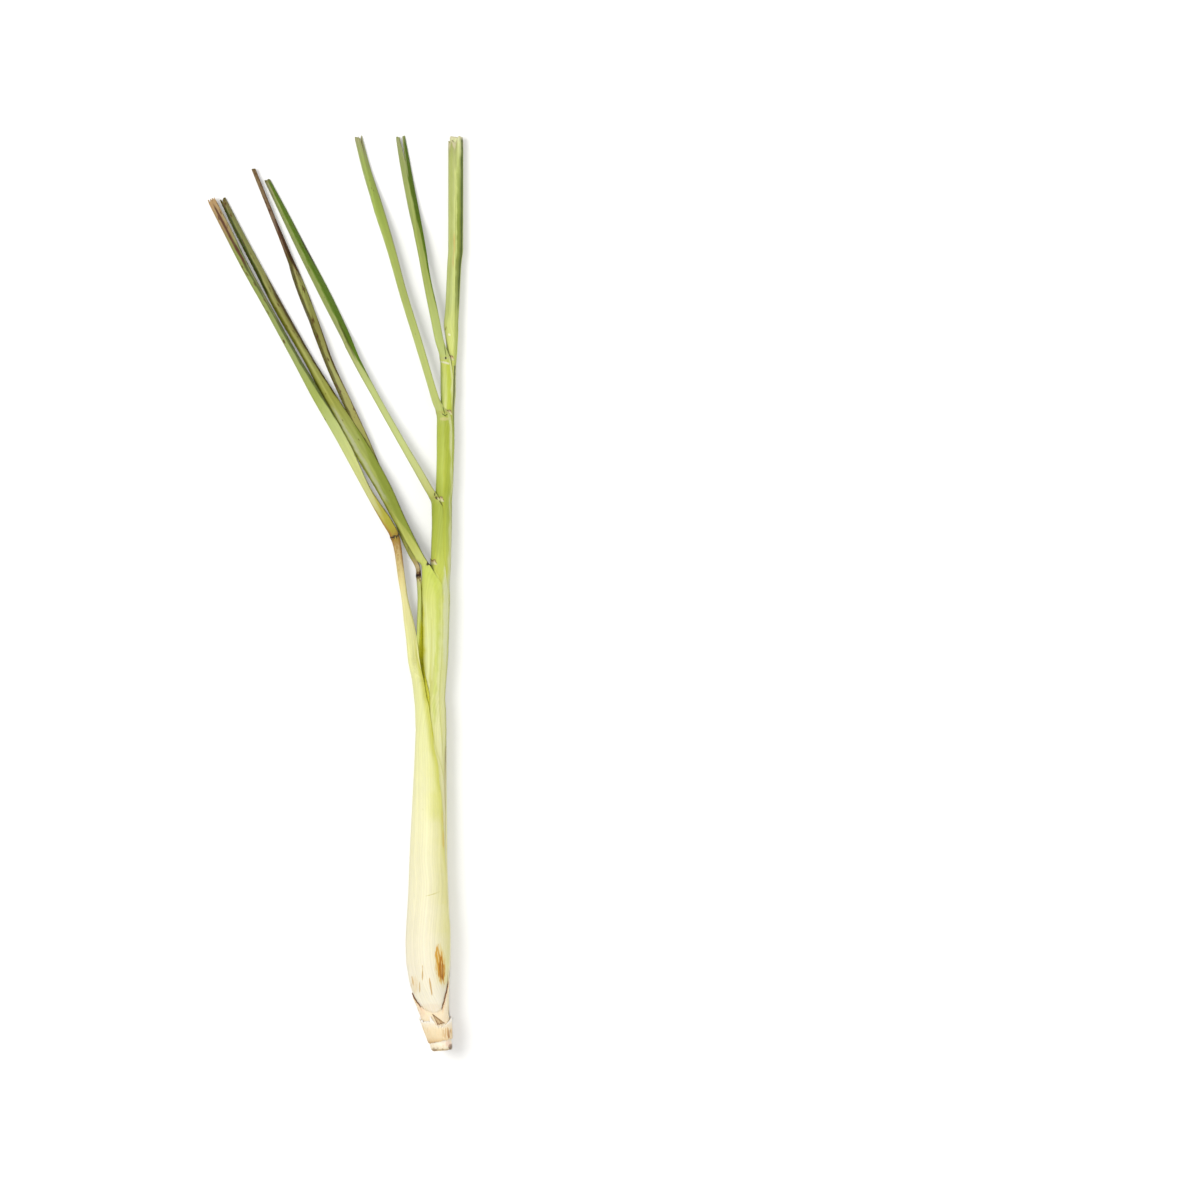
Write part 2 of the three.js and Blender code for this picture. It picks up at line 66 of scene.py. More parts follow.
# The stem's axis and its nest of sheaths: y, axis x, axis z, radius of leaf 1, step to the next.
STEM = [
  [-54, 5.9, 11.2, 5.6, 0.98], [-44, 3.75, 10.95, 5.9, 0.98], [-38, 2.5, 10.8, 5.95, 0.98],
  [-33, 1.2, 10.55, 6.5, 0.99], [-28, 0.25, 10.3, 7.45, 1.0], [-23, -0.41, 10.05, 8.6, 1.04],
  [-18, -0.72, 9.85, 9.25, 1.06], [-12, -0.85, 9.55, 10.05, 1.08], [-3, -0.9, 9.45, 10.32, 1.12],
  [4, -0.8, 9.35, 10.08, 1.13], [12, -0.92, 9.25, 9.46, 1.06], [22, -0.95, 9.05, 8.93, 1.0],
  [38, -0.85, 8.8, 8.43, 0.95], [60, -0.45, 8.45, 7.7, 0.91], [86, 0.3, 8.15, 7.2, 0.9],
  [104, 1.15, 7.95, 7.25, 0.9], [117, 2.0, 7.75, 7.3, 0.92], [131, 2.8, 7.5, 7.35, 0.92],
  [145, 3.35, 7.25, 7.38, 0.92], [155, 3.75, 7.1, 7.38, 0.92], [163, 4.35, 6.95, 7.4, 0.92],
  [171, 4.95, 6.82, 7.42, 0.92], [190, 5.45, 6.5, 7.36, 0.91], [200, 6.1, 6.33, 7.5, 0.91],
  [207, 6.65, 6.2, 7.6, 0.91], [222, 7.1, 5.95, 7.7, 0.91], [232, 7.3, 5.78, 7.82, 0.91],
  [240, 7.75, 5.63, 7.95, 0.91], [247, 8.3, 5.5, 7.9, 0.9], [255, 8.85, 5.37, 7.85, 0.91],
  [262, 9.5, 5.25, 7.92, 0.92], [270, 10.05, 5.1, 8.1, 0.93], [280, 10.3, 4.9, 8.45, 0.93],
  [290, 10.6, 4.72, 8.7, 0.93], [303, 11.1, 4.48, 8.85, 0.93], [320, 11.6, 4.2, 8.9, 0.93],
  [345, 11.72, 3.78, 8.9, 0.93], [368, 11.75, 3.42, 8.9, 0.93],
]

# Each leaf. span: where its sheath starts and ends. hug: how far in from its front margin a free
# sheath lies on the next leaf, and from which y. split: y, azimuths of its front and back margins.
# own: y, centre x, centre z, radius, wall where it parts from the nest. crease: radius of the
# blade's fold. blade: x and y of the band seen from above, height clear of the floor, band width,
# roll, half fold angle.
LEAVES = {
  "leaf_1": {
    "hug": [10.0, 118],
    "span": [-38, 163],
    "split": [
      [-38, 0, 350], [22, 0, 350], [36, 22, 352], [50, 29, 354], [64, 41, 356], [71, 52, 356],
      [78, 58, 357], [86, 75, 352], [95, 88, 335], [104, 98, 290], [110, 98, 270], [117, 96, 264],
      [126, 89, 271], [136, 83, 277], [145, 77, 283], [154, 84, 276], [163, 63, 297],
    ],
    "own": [
      [95, 0.6, 8.1, 7.2, 1.2], [104, 0.4, 8, 7.3, 0.8], [110, -0.65, 7.9, 6.8, 0.65],
      [117, -2.08, 7.5, 6.2, 0.65], [126, -4.7, 6.9, 5.4, 0.65], [136, -6.54, 6.1, 4.5, 0.65],
      [145, -8.6, 5.3, 3.6, 0.65], [154, -10.4, 4.6, 2.7, 0.65], [163, -12.5, 3.9, 2.2, 0.6],
    ],
    "blade": [
      [-14.72, 177.1, 1.6, 3.68, 0, 15], [-16.01, 183.08, 1.4, 4.3, 0, 15],
      [-20.2, 190.9, 1.2, 4.7, 0, 15], [-24.4, 197.5, 1.1, 4.0, 0, 15], [-28.7, 204.7, 1, 3.45, 0, 16],
      [-39.1, 225.4, 0.9, 4.9, -2, 16], [-50.9, 246.1, 0.7, 5.0, -2, 16],
      [-62.6, 266.8, 0.5, 3.8, -2, 16], [-74.0, 287.5, 0.4, 3.5, -4, 16],
      [-85.4, 308.2, 0.3, 3.8, -8, 16], [-93.85, 325.22, 0.2, 4.2, -14, 17],
      [-101.11, 339.25, 0, 3.9, -24, 22],
    ],
  },
  "leaf_2": {
    "hug": [4.0, 112],
    "span": [-32, 163],
    "split": [
      [-32, -30, 326], [34, -30, 326], [60, 16, 357], [70, 25, 357], [78, 45, 352], [86, 71, 345],
      [95, 86, 332], [104, 100, 315], [117, 106, 290], [126, 110, 262], [136, 109, 258],
      [145, 109, 256], [154, 108, 252], [163, 104, 256],
    ],
    "own": [
      [104, 1.1, 7.95, 6.4, 1.1], [117, 0.1, 7.8, 6.1, 0.7], [126, -1.4, 7.5, 5, 0.65],
      [136, -2, 6.9, 4.2, 0.65], [145, -2.1, 6.2, 3.9, 0.65], [154, -2.3, 5.4, 3.5, 0.65],
      [163, -3.2, 4.6, 3, 0.6],
    ],
    "blade": [
      [-5.61, 169.74, 1.4, 2.39, 0, 18], [-8.74, 175.26, 0.8, 2.76, 0, 16],
      [-13.11, 185.38, 0.5, 3.04, 0, 15], [-19.78, 203.78, 0.4, 3.22, 0, 15],
      [-28.5, 224.94, 0.4, 3.6, -4, 15], [-38.6, 246.1, 0.4, 4.4, -10, 15],
      [-46.5, 263.58, 0.4, 4.1, -24, 16], [-52.2, 278.76, 0.4, 4.4, -64, 26],
      [-58.3, 294.4, 0.3, 4.9, -88, 36], [-61.8, 303.5, 0.3, 4.4, -90, 36],
      [-65.0, 312.2, 0.3, 2.9, -70, 22], [-72.7, 331.2, 0.3, 2.2, -40, 16],
      [-81.5, 353.05, 0.3, 2.1, -20, 16],
    ],
  },
  "leaf_3": {
    "hug": [5.0, 130],
    "crease": 0.8,
    "span": [26, 171],
    "split": [
      [26, 10, 367], [60, 18, 357], [90, 45, 357], [104, 58, 356], [131, 64, 355], [145, 66, 355],
      [155, 69, 352], [160, 74, 335], [164, 88, 305], [168, 109, 268], [171, 118, 244],
    ],
    "own": [
      [117, 1.9, 7.75, 5.6, 1.25], [131, 2.6, 7.5, 5.87, 1.6], [145, 2.7, 7.3, 6.15, 1.9],
      [155, 2.75, 7.1, 6.4, 2.0], [163, 2.6, 6.95, 6.35, 1.2], [171, 2.1, 6.85, 5.8, 0.65],
    ],
    "blade": [
      [-4.23, 172.96, 4.2, 4.5, -18, 26], [-7.54, 178.94, 4.2, 4.9, -44, 34],
      [-14.0, 190.9, 4.2, 5.9, -66, 44], [-20.9, 204.7, 4.2, 7.3, -82, 58],
      [-30.4, 221.26, 3.8, 8.1, -90, 70], [-45.5, 246.1, 2.2, 6.6, -90, 58],
      [-57.3, 266.8, 1, 4.6, -88, 38], [-69.1, 287.5, 0.6, 5.0, -86, 34],
      [-80.1, 308.2, 0.4, 4.3, -84, 28], [-89.0, 325.22, 0.3, 3.9, -82, 26],
      [-95.9, 339.25, 0.2, 3.3, -84, 28],
    ],
  },
  "leaf_4": {
    "span": [60, 200],
    "split": [
      [60, 20, 357], [131, 25, 368], [155, 30, 366], [163, 45, 360], [171, 66, 350], [180, 80, 335],
      [190, 82, 312], [196, 84, 285], [200, 95, 250],
    ],
    "own": [
      [180, 5.2, 6.65, 4.68, 1.5], [190, 5.45, 6.5, 4.65, 1.6], [196, 5.45, 6.4, 4.75, 1],
      [200, 5.35, 6.33, 4.75, 0.65],
    ],
    "blade": [
      [-0.37, 204.93, 4.6, 3.96, -2, 16], [-4.14, 211.6, 4.2, 3.86, -2, 15],
      [-12.19, 225.4, 3.2, 3.5, -4, 15], [-23.92, 246.1, 2, 3.31, -8, 15],
      [-33.6, 264.04, 1, 3.8, -26, 20], [-39.9, 277.38, 0.4, 4.8, -78, 32],
      [-48.3, 294.4, 0.3, 5.4, -90, 36], [-58.9, 315.1, 0.2, 4.8, -90, 34],
      [-67.6, 332.58, 0.1, 4.0, -88, 30], [-75.4, 347.99, 0.1, 3.0, -84, 26],
    ],
  },
  "leaf_5": {
    "span": [30, 240],
    "split": [
      [30, 12, 371], [171, 13, 371], [190, 22, 370], [205, 38, 356], [222, 40, 325], [232, 46, 285],
      [236, 52, 258], [240, 60, 225],
    ],
    "own": [
      [222, 7.1, 5.95, 4.1, 1.26], [232, 7.25, 5.8, 4.2, 1.4], [240, 7.3, 5.65, 4.2, 0.65],
    ],
    "blade": [
      [3.31, 244.26, 5.2, 3.96, -24, 16], [0.69, 253, 4.9, 3.68, -14, 15],
      [-5.52, 273.7, 4, 3.86, -6, 15], [-11.96, 294.4, 2.8, 3.86, -10, 16],
      [-17.7, 315.1, 1.6, 4.2, -26, 20], [-24.15, 335.8, 0.7, 4.8, -64, 28],
      [-29.5, 352.82, 0.3, 4.3, -84, 32], [-33.4, 368, 0.1, 3.9, -88, 32],
    ],
  },
  "leaf_6": {
    "span": [155, 265],
    "split": [
      [155, 12, 371], [205, 16, 371], [222, 45, 366], [240, 54, 335], [247, 56, 315], [255, 58, 285],
      [262, 66, 250], [265, 72, 225],
    ],
    "own": [
      [247, 8.35, 5.5, 3.5, 1.2], [255, 8.4, 5.4, 3.6, 1.2], [262, 8.4, 5.3, 3.68, 0.8],
      [265, 8.4, 5.25, 3.7, 0.65],
    ],
    "blade": [
      [4.55, 272.78, 4.9, 4.14, -24, 18], [1.84, 286.58, 4.2, 4.32, -14, 18],
      [-1.29, 301.3, 3.2, 3.96, -24, 18], [-4.4, 318.78, 1.8, 4.4, -54, 26],
      [-8.0, 335.8, 0.8, 5.1, -84, 38], [-11.5, 354.2, 0.3, 5.1, -90, 42],
      [-13.89, 368, 0.1, 4.69, -90, 44],
    ],
  },
  "leaf_7": {
    "span": [205, 366.3],
    "split": [
      [205, 12, 371], [225, 16, 372], [240, 40, 374], [255, 52, 376], [270, 62, 374], [280, 70, 372],
      [303, 82, 371], [326, 90, 370], [345, 86, 370], [368, 80, 370],
    ],
    "own": [
      [262, 9.5, 5.25, 2.4, 1.2], [270, 10.05, 5.1, 2.52, 1.1], [276, 9.9, 5, 3, 0.9],
      [280.6, 9.6, 4.9, 3.33, 0.7], [287.5, 10.1, 4.75, 3.2, 0.65], [298, 10.6, 4.55, 3.2, 0.65],
      [308, 11.05, 4.4, 3.25, 0.65], [316, 11.7, 4.25, 3.42, 0.65], [345, 11.75, 3.78, 3.45, 0.65],
      [368, 11.75, 3.42, 3.45, 0.65],
    ],
    "blade": [],
  },
}

# The culm under the husks: y, radius.
CULM = [
  [-52.7, 4.45], [-52.1, 4.85], [-49.2, 5.1], [-44, 5.1], [-38, 5.2], [-33, 5.6], [-28, 6.5],
  [-18, 8.2],
]

# The torn sheath. edge: azimuth, height of its upper edge.
TORN = {
  "foot": -41.6,
  "rise": 0.75,  # how far it stands off leaf 1
  "wall": 1.05,
  "edge": [
    [8, 86.4], [12, -20.5], [20, -25], [29, -28], [40, -31], [50, -33.4], [68, -34.7],
    [88, -35], [104, -34.6], [120, -33.7], [136, -32.5], [155, -30], [170, -28], [184, -26.8],
    [204, -26.4], [228, -26], [252, -26.6], [276, -26], [296, -24.4], [312, -18], [319, 61],
    [332, 82], [346, 87], [358, 85.6],
  ],
}

# The husk ring. foot, head: y, radius. rim: azimuth, height of its ragged upper edge.
HUSK = {
  "wall": 0.95,
  "foot": [-48.4, 5.8],
  "head": [-38.6, 7.45],
  "slant": 1.1,
  "rim": [
    [0, -37.8], [18, -38.2], [34, -39.6], [51, -40.6], [70, -41.4], [83, -41.8], [92, -40.6],
    [99, -38.4], [105, -37.4], [111, -38.9], [125, -39.4], [145, -39.2], [162, -38.9],
    [180, -38.4], [205, -39.4], [230, -38.5], [255, -39.6], [280, -38.6], [305, -39.5],
    [330, -38.4], [345, -37.6],
  ],
}

# where each sheath's margins have opened wide, and between which heights it leaves the stem;
# leaf 7 never leaves it
OPENED = [97, 106, 160, 196, 232, 258]
PARTED = [(97, 110), (106, 118), (160, 168), (192, 198), (228, 236), (254, 262), (400, 420)]


# ---------------------------------------------------------------- numbers

def curve(rows, col, at):
    """Monotone cubic through column col of rows, as a function of their first column."""
    rows = np.asarray([r[: col + 1] for r in rows], float)
    x, y = rows[:, 0], rows[:, col]
    at = np.clip(np.asarray(at, float), x[0], x[-1])
    h = np.diff(x)
    d = np.diff(y) / h
    slope = np.zeros(len(x))
    slope[0], slope[-1] = d[0], d[-1]
    a, b = d[:-1], d[1:]
    both = a * b > 0
    slope[1:-1][both] = 2 * a[both] * b[both] / (a[both] + b[both])
    k = np.clip(np.searchsorted(x, at, side="right") - 1, 0, len(h) - 1)
    s = (at - x[k]) / h[k]
    return (
        (1 + 2 * s) * (1 - s) ** 2 * y[k]
        + s * (1 - s) ** 2 * h[k] * slope[k]
        + s * s * (3 - 2 * s) * y[k + 1]
        + s * s * (s - 1) * h[k] * slope[k + 1]
    )


def smooth(edge0, edge1, x):
    """0 at edge0 and 1 at edge1, eased."""
    s = np.clip((np.asarray(x, float) - edge0) / (edge1 - edge0), 0, 1)
    return s * s * (3 - 2 * s)


def wander(x, pitch, seed):
    """A smooth seeded line of noise between about -1 and 1."""
    rng = np.random.default_rng(seed)
    total = np.zeros_like(np.asarray(x, float))
    for octave in range(3):
        for _ in range(3):
            freq = 2**octave * rng.uniform(0.7, 1.3) / pitch
            wave = np.sin(2 * math.pi * freq * x + rng.uniform(0, 6.28))
            total = total + wave / (3 * 1.6**octave)
    return total


def unit(v):
    return v / np.linalg.norm(v, axis=-1, keepdims=True)


axis_x = lambda y: curve(STEM, 1, y)
axis_z = lambda y: curve(STEM, 2, y)
step_at = lambda y: curve(STEM, 4, y)
nest_radius = lambda number, y: curve(STEM, 3, y) - (number - 1) * step_at(y)


# ---------------------------------------------------------------- leaf sections

def profile(r, turn_max, s):
    """An arc of radius r from the keel, then a straight arm: towards the opening, sideways, turn."""
    a = np.abs(s)
    turn = np.minimum(a / r, turn_max)
    straight = np.maximum(0, a - r * turn_max)
    opened = r * (1 - np.cos(turn)) + straight * np.sin(turn_max)
    across = r * np.sin(turn) + straight * np.cos(turn_max)
    return opened, np.sign(s) * across, np.sign(s) * turn


def blade_grid(rows, crease, step, q):
    """A blade's middle points, half walls, places across and distances from the margin. The band
    that it shows from above keeps the table's width and clearance."""
    rows = np.asarray(rows, float)
    t = np.concatenate([[0], np.cumsum(np.linalg.norm(np.diff(rows[:, :2], axis=0), axis=1))])
    table = np.column_stack([t, rows])
    at = np.linspace(0, t[-1], int(t[-1] / step) + 2)
    x, y, clear, shown, roll, fold = (curve(table, c, at) for c in range(1, 7))
    tangent = unit(np.stack([np.gradient(x), np.gradient(y), np.gradient(clear)], 1))
    cosine, sine = np.cos(roll * DEG)[:, None], np.sin(roll * DEG)[:, None]
    turn = ((90 - fold) * DEG)[:, None]

    def reach(width):
        a, b, _ = profile(crease, turn, width[:, None] * np.linspace(-1, 1, 17))
        flat, tall = a * cosine + b * sine, a * sine - b * cosine
        rim = BLADE_WALL / 2
        return flat.min(1) - rim, flat.max(1) + rim, tall.min(1) - rim

    # close in on the half width that shows the band
    small, large = (np.full(len(at), limit) for limit in HALF_WIDTHS)
    for _ in range(24):
        width = (small + large) / 2
        left, right, _ = reach(width)
        wide = right - left > shown
        large = np.where(wide, width, large)
        small = np.where(wide, small, width)
    left, right, low = reach(width)
    sideways = unit(np.stack([tangent[:, 1], -tangent[:, 0], 0 * x], 1))
    origin = np.stack([x, y, clear - low], 1) - sideways * ((left + right) / 2)[:, None]

    opening = sideways * cosine + np.cross(sideways, tangent) * sine
    side = np.cross(tangent, opening)[:, None]
    opening = opening[:, None]
    s = width[:, None] * q
    opened, across, direction = (part[..., None] for part in profile(crease, turn, s))
    mid = origin[:, None] + opening * opened + side * across
    outward = side * np.sin(direction) - opening * np.cos(direction)
    rim = width[:, None] - np.abs(s)
    wall = RIM_WALL + (BLADE_WALL - RIM_WALL) * smooth(0, BLADE_TAPER, rim)
    return mid, outward * (wall / 2)[..., None], s, rim


def margins(number, y):
    """Azimuths of a sheath's front and back margins."""
    split = LEAVES["leaf_%d" % number]["split"]
    sway = [1.2 * wander(y, 60, 11 * number + k) for k in (0, 1)]
    return [curve(split, 1, y) + sway[0], curve(split, 2, y) + sway[1]]


def circle(number, y):
    """Centre x, centre z and radius of a sheath's outside."""
    own = LEAVES["leaf_%d" % number]["own"]
    nested = axis_x(y), axis_z(y), nest_radius(number, y)
    return [np.where(y >= own[0][0], curve(own, col, y), nested[col - 1]) for col in (1, 2, 3)]


def depth_under(number, az, y):
    """How far inside a sheath's margins a place on the stem is, in mm; negative outside them."""
    front, back = margins(number, y)
    a = np.mod(az - front, 360)
    span = back - front
    inside = np.minimum(a, span - a)
    outside = -np.minimum(np.mod(az - back, 360), np.mod(front - az, 360))
    return np.where(a < span, inside, outside) * DEG * nest_radius(1, y)


def skin_radius(number, az, y):
    """Distance from the stem's axis to the outside of a sheath. A sheath is thin along its margins,
    so beyond them the next one comes up nearly flush with it."""
    cx, cz, radius = circle(number, y)
    dx, dz = cx - axis_x(y), cz - axis_z(y)
    along_ray = dx * np.cos(az * DEG) + dz * np.sin(az * DEG)
    inside = radius**2 - dx**2 - dz**2 + along_ray**2
    mine = along_ray + np.sqrt(np.maximum(inside, 0.2))
    if number == 1:
        return mine
    outer = skin_radius(number - 1, az, y)
    gone = OPENED[number - 2]
    present = 1 - smooth(gone - 10, gone + 25, y)
    bare = 1 - smooth(-0.2, STEM_TAPER, depth_under(number - 1, az, y))
    share = present * bare
    return mine * (1 - share) + np.maximum(outer - LEDGE, mine) * share


def lie_down(number, outer, thin, lies):
    """How a free sheath's wall moves to lie on the next leaf where lies is 1: leaf 3's towards the
    stem's axis, the others' straight down."""
    x, y, z = outer[..., 0], outer[..., 1], outer[..., 2]
    if number == 3:
        dx, dz = x - axis_x(y), z - axis_z(y)
        down = skin_radius(number + 1, np.degrees(np.arctan2(dz, dx)), y) + thin + GAP
        share = (np.minimum(down / np.hypot(dx, dz), 1) - 1) * lies
        return np.stack([dx * share, 0 * share, dz * share], -1)
    nx, nz, nr = circle(number + 1, y)
    top = nz + np.sqrt(np.maximum(nr**2 - (x - nx) ** 2, 0))
    drop = np.minimum(top + thin + GAP - z, 0) * lies
    return np.stack([0 * drop, 0 * drop, drop], -1)


def sheath_grid(number, spec, step, q):
    """A sheath's outer and inner points, its places across, distances from the margin, a mask for the
    painted olive shade beside the margins of the sheaths over it, and its stations' heights."""
    first, last = spec["span"]
    y = np.linspace(first, last, int((last - first) / step) + 2)
    front, back = (edge[:, None] for edge in margins(number, y))
    half = (back - front) / 2 * DEG
    az = (front + back) / 2 + (back - front) / 2 * q
    yy = y[:, None] + 0 * az
    around = lambda x, z, r: np.stack([x + r * np.cos(az * DEG), yy, z + r * np.sin(az * DEG)], -1)
    # while it is part of the stem
    radius = skin_radius(number, az, yy)
    depth = half * nest_radius(1, yy) * (1 - np.abs(q))
    thick = LEDGE + (step_at(yy) - LEDGE) * smooth(0, STEM_TAPER, depth) + SINK
    nested = [around(axis_x(yy), axis_z(yy), r) for r in (radius, radius - thick)]
    # once it has parted
    cx, cz, r = circle(number, yy)
    own = spec["own"]
    wall = np.minimum(np.where(yy >= own[0][0], curve(own, 4, yy), 1.0), SHEATH_WALL)
    thin = RIM_WALL + (wall - RIM_WALL) * smooth(0, FREE_TAPER, depth)
    free = [around(cx, cz, rr) for rr in (r, r - thin)]
    if "hug" in spec:
        # the front margin lies down on the next leaf, short of the collar
        reach, start = spec["hug"]
        lies = smooth(reach, 0, half * (1 + q) * r)
        lies = lies * smooth(start, start + 8, yy) * smooth(last, last - 4, yy)
        shift = lie_down(number, free[0], thin, lies)
        free = [points + shift for points in free]
    f = smooth(*PARTED[number - 1], yy)[..., None]
    outer, inner = (a * (1 - f) + b * f for a, b in zip(nested, free))
    # painted olive shade beside the margin of each sheath over this one
    margin_shade = np.zeros_like(az)
    for other in range(1, number):
        off = -depth_under(other, az, yy)
        gone = PARTED[other - 1][1]
        beside = np.where(off > -0.6, np.exp(-np.maximum(off, 0) / 0.9), 0)
        margin_shade = np.maximum(margin_shade, smooth(gone + 45, gone, yy) * beside)
    return outer, inner, radius * half * q, depth, margin_shade, y


# ---------------------------------------------------------------- meshes

PIECES = []  # what stands in for the part's one node


def new_object(name, points, faces, fields, material):
    mesh = bpy.data.meshes.new(name)
    mesh.from_pydata((np.asarray(points) * MM).tolist(), [], faces)
    mesh.validate()
    for key, values in fields.items():
        layer = mesh.attributes.new(key, "FLOAT", "POINT")
        layer.data.foreach_set("value", np.asarray(values, np.float32))
    mesh.polygons.foreach_set("use_smooth", [True] * len(mesh.polygons))
    mesh.set_sharp_from_angle(angle=62 * DEG)
    mesh.materials.append(material)
    obj = bpy.data.objects.new(name, mesh)
    bpy.context.scene.collection.objects.link(obj)
    return obj


def two_walls(outer, inner, fields, name, material, closed=False):
    """One closed skin over two grids of points, [station, column], the outer and the inner wall.
    The field side is 0 on the outer wall and 1 on the inner."""
    n, m = outer.shape[:2]
    points = np.concatenate([outer.reshape(-1, 3), inner.reshape(-1, 3)])
    points[:, 2] = np.maximum(points[:, 2], FLOOR_Z)
    inside = n * m
    faces = []
    cols = range(m) if closed else range(m - 1)
    for k in range(n - 1):
        for j in cols:
            a, b = k * m + j, k * m + (j + 1) % m
            faces.append((a, b, b + m, a + m))
            faces.append((inside + a, inside + a + m, inside + b + m, inside + b))
    if not closed:
        for a in range(0, (n - 1) * m, m):
            b = a + m - 1
            faces.append((a, a + m, inside + a + m, inside + a))
            faces.append((b, inside + b, inside + b + m, b + m))
    top = (n - 1) * m
    for a in cols:
        b = (a + 1) % m
        faces.append((a, inside + a, inside + b, b))
        faces.append((top + a, top + b, inside + top + b, inside + top + a))
    spread = {key: np.tile(np.broadcast_to(v, (n, m)).ravel(), 2) for key, v in fields.items()}
    spread["side"] = np.repeat([0, 1], inside)
    PIECES.append(new_object(name, points, faces, spread, material))


def bridge(sheath, blade, shares):
    """The rows of a sheath's grid, rows at the given shares between the two, and the blade's."""
    f = shares.reshape(-1, *[1] * (sheath.ndim - 1))
    return np.concatenate([sheath, sheath[-1] * (1 - f) + blade[0] * f, blade])


def ease_along(grid, centre, reach):
    """Smooths a grid of points along the leaf near one station."""
    away = np.abs(np.arange(len(grid)) - centre)
    weight = (0.5 * (1 - smooth(reach * 0.5, reach, away)))[:, None, None]
    for _ in range(3):
        mean = grid.copy()
        mean[1:-1] = (grid[:-2] + grid[2:]) / 2
        grid = grid + (mean - grid) * weight
    return grid


def share_across(outer):
    """How far each point lies across the leaf as seen from above: 0 at its left, 1 at its right."""
    centre = outer.mean(1)
    heading = unit(np.gradient(centre[:, :2], axis=0))
    off = outer[..., :2] - centre[:, None, :2]
    right = off[..., 0] * heading[:, None, 1] - off[..., 1] * heading[:, None, 0]
    low, high = right.min(1, keepdims=True), right.max(1, keepdims=True)
    return (right - low) / (high - low)


def band(outer, rows, soft, seed):
    """1 inside a long mark on a leaf. rows: height along the stalk, then the shares across it
    between which the mark lies."""
    share, y = share_across(outer), outer[..., 1]
    at, left, right = zip(*rows)
    left = np.interp(y, at, left) + BAND_SWAY * wander(y, 14, seed)
    right = np.interp(y, at, right) + BAND_SWAY * wander(y, 11, seed + 1)
    inside = smooth(left - soft, left + soft, share) * (1 - smooth(right - soft, right + soft, share))
    ends = smooth(at[0] - BAND_FADE, at[0], y) * (1 - smooth(at[-1], at[-1] + BAND_FADE, y))
    return inside * ends


def band_fields(outer, number, look):
    """One field for each long mark of a leaf."""
    return {
        "band_%d" % k: band(outer, rows, soft, 100 * number + 7 * k)
        for k, (_, _, rows, soft) in enumerate(look["bands"])
    }


def cut_ends(mid, along, q, number, look):
    """Gives each column of a leaf its own length, as the end is cut or torn. Returns by how much."""
    cut = look["torn"] * (0.5 + 0.5 * wander(q * 4, 1.3, 7 * number))
    for where, deep, wide in look.get("splits", []):
        cut = cut + deep * np.exp(-np.abs((q - where) / wide) ** 1.5)
    cut = cut - cut.min()
    start = along[-1] - CUT_REACH
    near = along > start
    for j in range(len(q)):
        at = start + (along[near] - start) * (1 - cut[j] / CUT_REACH)
        for c in range(3):
            mid[near, j, c] = np.interp(at, along, mid[:, j, c].copy())
    return cut


def make_leaf(name, number, spec, look):
    """A leaf as one skin: its sheath, its collar and its blade."""
    step = look.get("step", 1.3)
    q = np.linspace(-1, 1, look.get("across", 49))
    q = np.sign(q) * np.abs(q) ** 0.92
    outer, inner, s, rim, margin_shade, y = sheath_grid(number, spec, step, q)
    mid, offset = (outer + inner) / 2, (outer - inner) / 2
    along = y
    if spec["blade"]:
        blade = blade_grid(spec["blade"], spec.get("crease", FOLD_RADIUS), step, q)
        gap = np.linalg.norm(blade[0][0].mean(0) - mid[-1].mean(0))
        count = max(3, int(gap / step))
        shares = np.linspace(0, 1, count + 2)[1:-1]
        mid, offset, s, rim = (bridge(a, b, shares) for a, b in zip((mid, offset, s, rim), blade))
        margin_shade = np.concatenate([margin_shade, np.zeros((len(mid) - len(y), len(q)))])
        for joint in (len(y) - 1, len(y) + count):
            mid = ease_along(mid, joint, JOINT_REACH / step)
            offset = ease_along(offset, joint, JOINT_REACH / step)
        walk = np.linalg.norm(np.diff(mid.mean(1), axis=0), axis=1)
        along = np.concatenate([y, y[-1] + np.cumsum(walk[len(y) - 1:])])
    cut = cut_ends(mid, along, q, number, look)
    # the collar swells a little where sheath and blade meet
    collar, end = look["collar"], float(along[-1])
    swell = COLLAR_SWELL * bool(spec["blade"]) * np.exp(-(((along - collar) / COLLAR_REACH) ** 2))
    outer = mid + offset + unit(offset) * (swell[:, None] * (1 - 0.6 * q**2))[..., None]
    left = end - along[:, None]
    fields = {
        "along": along[:, None], "across": s, "rim": np.maximum(rim, 0), "margin_shade": margin_shade,
        "tip": left - cut * smooth(CUT_REACH, 0, left),
        **band_fields(outer, number, look),
    }
    paint = leaf_material(name, number, (spec["span"][0], collar, end), look)
    two_walls(outer, mid - offset, fields, name, paint)


def ring_point(y, radius, azimuth):
    """Points round the stem's axis."""
    a = azimuth * DEG
    return np.stack(
        [axis_x(y) + radius * np.cos(a), y + 0 * a, axis_z(y) + radius * np.sin(a)], -1
    )


# ---------------------------------------------------------------- materials

TONE = 0.62  # the tables give colours as they look in bright light; the surface is this much darker
BASE_TONE = 0.74  # the same for the dry pieces of the base
FLOOR_TONE = 0.77
SHEEN = 0.018  # and its gloss adds this much white
GLOSS = 0.16  # specular level of the leaves
FIBRE = 3.0, 0.6  # detail and roughness of the coarse noises
SHEATH_RIB, BLADE_RIB = 1.15, 0.52  # mm from rib to rib


def colour(text, tone=TONE, sheen=SHEEN):
    """A #rrggbb colour as linear values."""
    rgb = [int(text[k : k + 2], 16) / 255 for k in (1, 3, 5)]
    linear = [c / 12.92 if c <= 0.04045 else ((c + 0.055) / 1.055) ** 2.4 for c in rgb]
    return [tone * max(0.0, c - sheen * (1 - c)) for c in linear] + [1.0]


